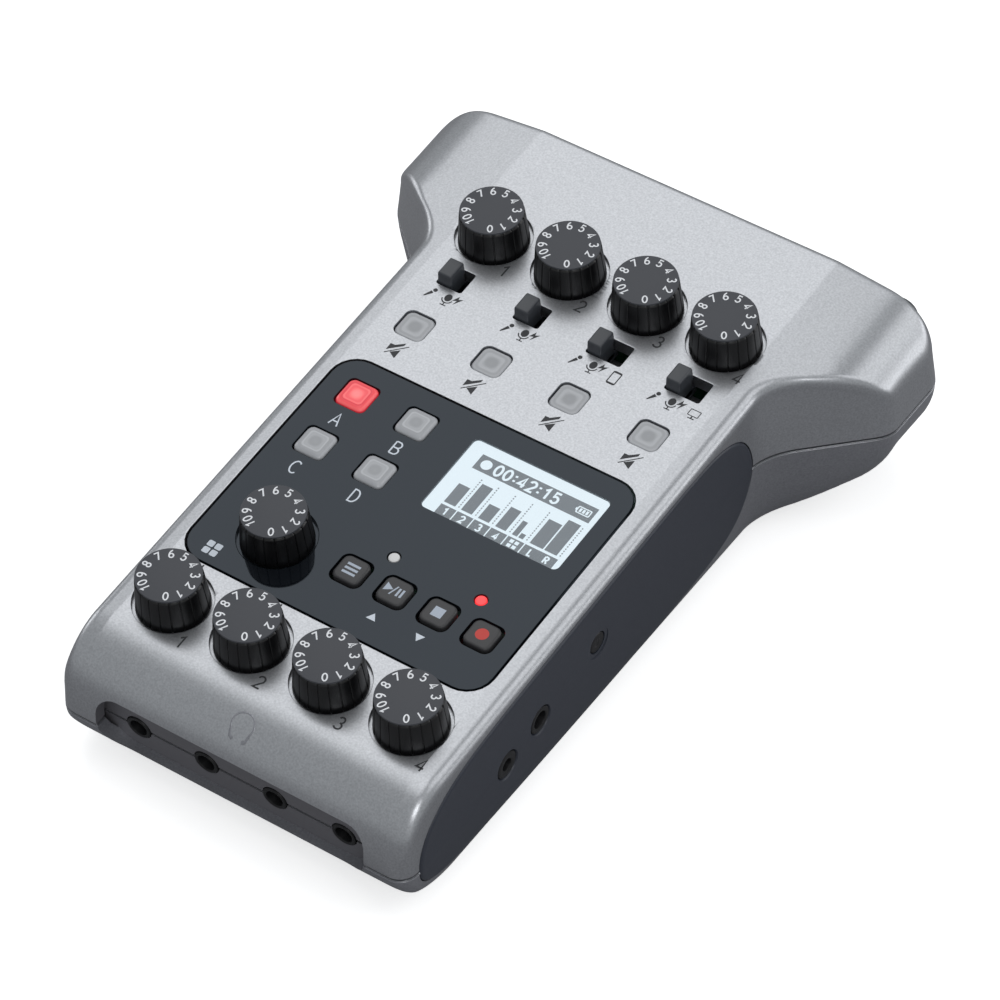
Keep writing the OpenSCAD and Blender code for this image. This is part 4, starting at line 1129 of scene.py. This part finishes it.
cover = build("battery_door", doorForm(0, 3.0, [(1.0, -0.2), (1.06, -0.06), (1.2, 0), (2.6, 0)]))
coverRear = rectStack(80, 20, 0.1, upright(0, 5), (0, hinge["y"] + 10))
ridges = [rectStack(14.0, 0.8, 0.4, upright(0.8, 1.35), (0, door["y"] - 15.5 + 1.6 * k)) for k in range(4)]
carve(cover, cut(*ridges), cut(coverRear), join(hingeBar(0.75, 27.0)), join(hingeBar(0.5, 31.5)))
finishPiece(cover, gunmetal, "cover", ["battery_cover"], tableMatrix, weighted=True)
footPart = roundStack(4.0, [(0, -0.5), (0.12, -0.15), (0.35, 0), (1.6, 0)], n=48)
feet = copies("feet", footPart, [(x, y, 0) for x, y in footPlace], [0.0] * 4, footRubber)
finishPiece(build("foot_pads", feet), footRubber, "case", ["feet"], tableMatrix)
headBlank = build("headBlank", roundStack(1.9, [(1.4, -0.25), (1.5, -0.05), (1.65, 0), (2.75, 0)], n=40))
carve(headBlank, *[cut(rectStack(*size, 0.05, upright(1.0, 2.0))) for size in ((2.2, 0.5), (0.5, 2.2))])
headPoints = np.array([v.co for v in headBlank.data.vertices])
screwHead = (headPoints, [tuple(p.vertices) for p in headBlank.data.polygons])
drop(headBlank)
screwPart = merged([screwHead, roundStack(0.95, upright(2.7, 22.4), n=24)])
screws = copies("screws", screwPart, [(x, y, 0) for x, y in screwPlace], [0.3, 1.1, 0.7, 0.2, 0.9, 0.5], steel)
finishPiece(build("screw_set", screws), steel, "case", ["case_screws"], tableMatrix)
cellProfile = [(5.8, -25.25), (6.9, -25.05), (7.0, -24.8), (7.0, 23.7), (6.8, 24.05), (2.75, 24.05), (2.7, 25.1),
               (2.5, 25.25)]
cellPoints, cellFaces = stack([circleLoop(r, x, (0, 0), 64) for r, x in cellProfile])
cellParts = []
for s in (-1, 1):
    # the second cell lies the other way round
    turned = cellPoints * np.array([1, -s, -s])
    cellParts.append(moved((turned[:, [2, 0, 1]], cellFaces), (0, door["y"] + s * 7.4, 10.0)))
finishPiece(build("cell_pair", *cellParts), cellWrap, "case", ["battery_cells"], tableMatrix)
print("underside made")

# Inner pieces keep their CAD form
special = {"main_board": (boardGreen, "board_green"), "battery_contacts": (contact, "contact_metal")}
inner = ["main_board", "pot_bodies", "switch_bodies", "tact_switches", "battery_contacts", "left_ports"]
inner += [nth(kind, i) for i in range(4) for kind in ("input_shaft", "output_shaft")] + ["pad_shaft"]
for node in inner:
    paint, name = special.get(node, (steel, "steel"))
    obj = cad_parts[node]
    obj.data.materials.clear()
    obj.data.materials.append(paint)

# Stage, light and camera

def splitByRay(tree, lighting, seen, output):
    # the light meets one surface, the camera sees another
    path, pick = addNode(tree, "ShaderNodeLightPath"), addNode(tree, "ShaderNodeMixShader")
    wire(tree, (path, "Is Camera Ray", pick, "Fac"), (lighting, 0, pick, 1), (seen, 0, pick, 2),
         (pick, "Shader", tree.nodes[output], "Surface"))


white = (1, 1, 1, 1)
floorHalf = 4
corners = [(-floorHalf, -floorHalf), (floorHalf, -floorHalf), (floorHalf, floorHalf), (-floorHalf, floorHalf)]
floor = build("floor", stack([np.array([(x, y, z) for x, y in corners], float) for z in (-0.02, 0.0)]))
paper = material("paper", (245, 245, 245), 0.9, Specular_IOR_Level=0.0)
tree = paper.node_tree
lit = addNode(tree, "ShaderNodeEmission", Color=white, Strength=0.6)
both = addNode(tree, "ShaderNodeAddShader")
grey = addNode(tree, "ShaderNodeBsdfDiffuse", Color=(0.32, 0.32, 0.33, 1))
wire(tree, (tree.nodes["Principled BSDF"], "BSDF", both, 0), (lit, "Emission", both, 1))
splitByRay(tree, grey, both, "Material Output")
floor.data.materials.append(paper)

world = bpy.data.worlds.new("studio")
scene.world = world
world.use_nodes = True
tree = world.node_tree
back = setInputs(tree.nodes["Background"], {"Color": (0.95, 0.98, 1.0, 1), "Strength": 0.45})
splitByRay(tree, back, addNode(tree, "ShaderNodeBackground", Color=white), "World Output")
aim = Vector((0.0, 0.0, 0.03))


def softbox(name, direction, distance, width, height, power, roll=0.0):
    data = bpy.data.lights.new(name, "AREA")
    data.shape = "RECTANGLE"
    data.size, data.size_y = width, height
    data.energy = power
    obj = bpy.data.objects.new(name, data)
    scene.collection.objects.link(obj)
    # its width lies along X until it is rolled
    away = Vector(direction).normalized()
    side = Matrix.Rotation(math.radians(roll), 3, away) @ (Vector((1, 0, 0)) - away * away.x).normalized()
    turned = Matrix([side, away.cross(side), away]).transposed().to_4x4()
    obj.matrix_world = Matrix.Translation(aim + away * distance) @ turned


softbox("keyBox", (-0.28, 0.25, 0.86), 1.3, 0.86, 1.72, 4.45, 25)
softbox("rimBox", (0.55, 0.4, 0.66), 1.4, 0.7, 1.2, 2.2)
softbox("frontBox", (0.5, -0.55, 0.64), 1.2, 0.4, 0.3, 1.5)
softbox("flankBox", (0.64, 0.62, 0.12), 1.3, 0.8, 0.5, 1.9)
softbox("sideBox", (-0.98, 0.16, 0.14), 1.3, 0.5, 0.5, 1.1)

camera = bpy.data.cameras.new("camera")
camera.lens, camera.sensor_width = 172.8, 36.0
camera.clip_start, camera.clip_end = 0.01, 50.0
cameraObject = bpy.data.objects.new("camera", camera)
scene.collection.objects.link(cameraObject)
right, up, away = (0.82926, 0.55886, -0.00207), (-0.39967, 0.59563, 0.69677), (0.39064, -0.57697, 0.71729)
cameraPlace = (0.35689, -0.51845, 0.66879)
cameraObject.matrix_world = Matrix([*zip(right, up, away, cameraPlace), (0, 0, 0, 1)])
scene.camera = cameraObject
scene.view_settings.view_transform = "Standard"
scene.view_settings.look = "None"
print("stage made")
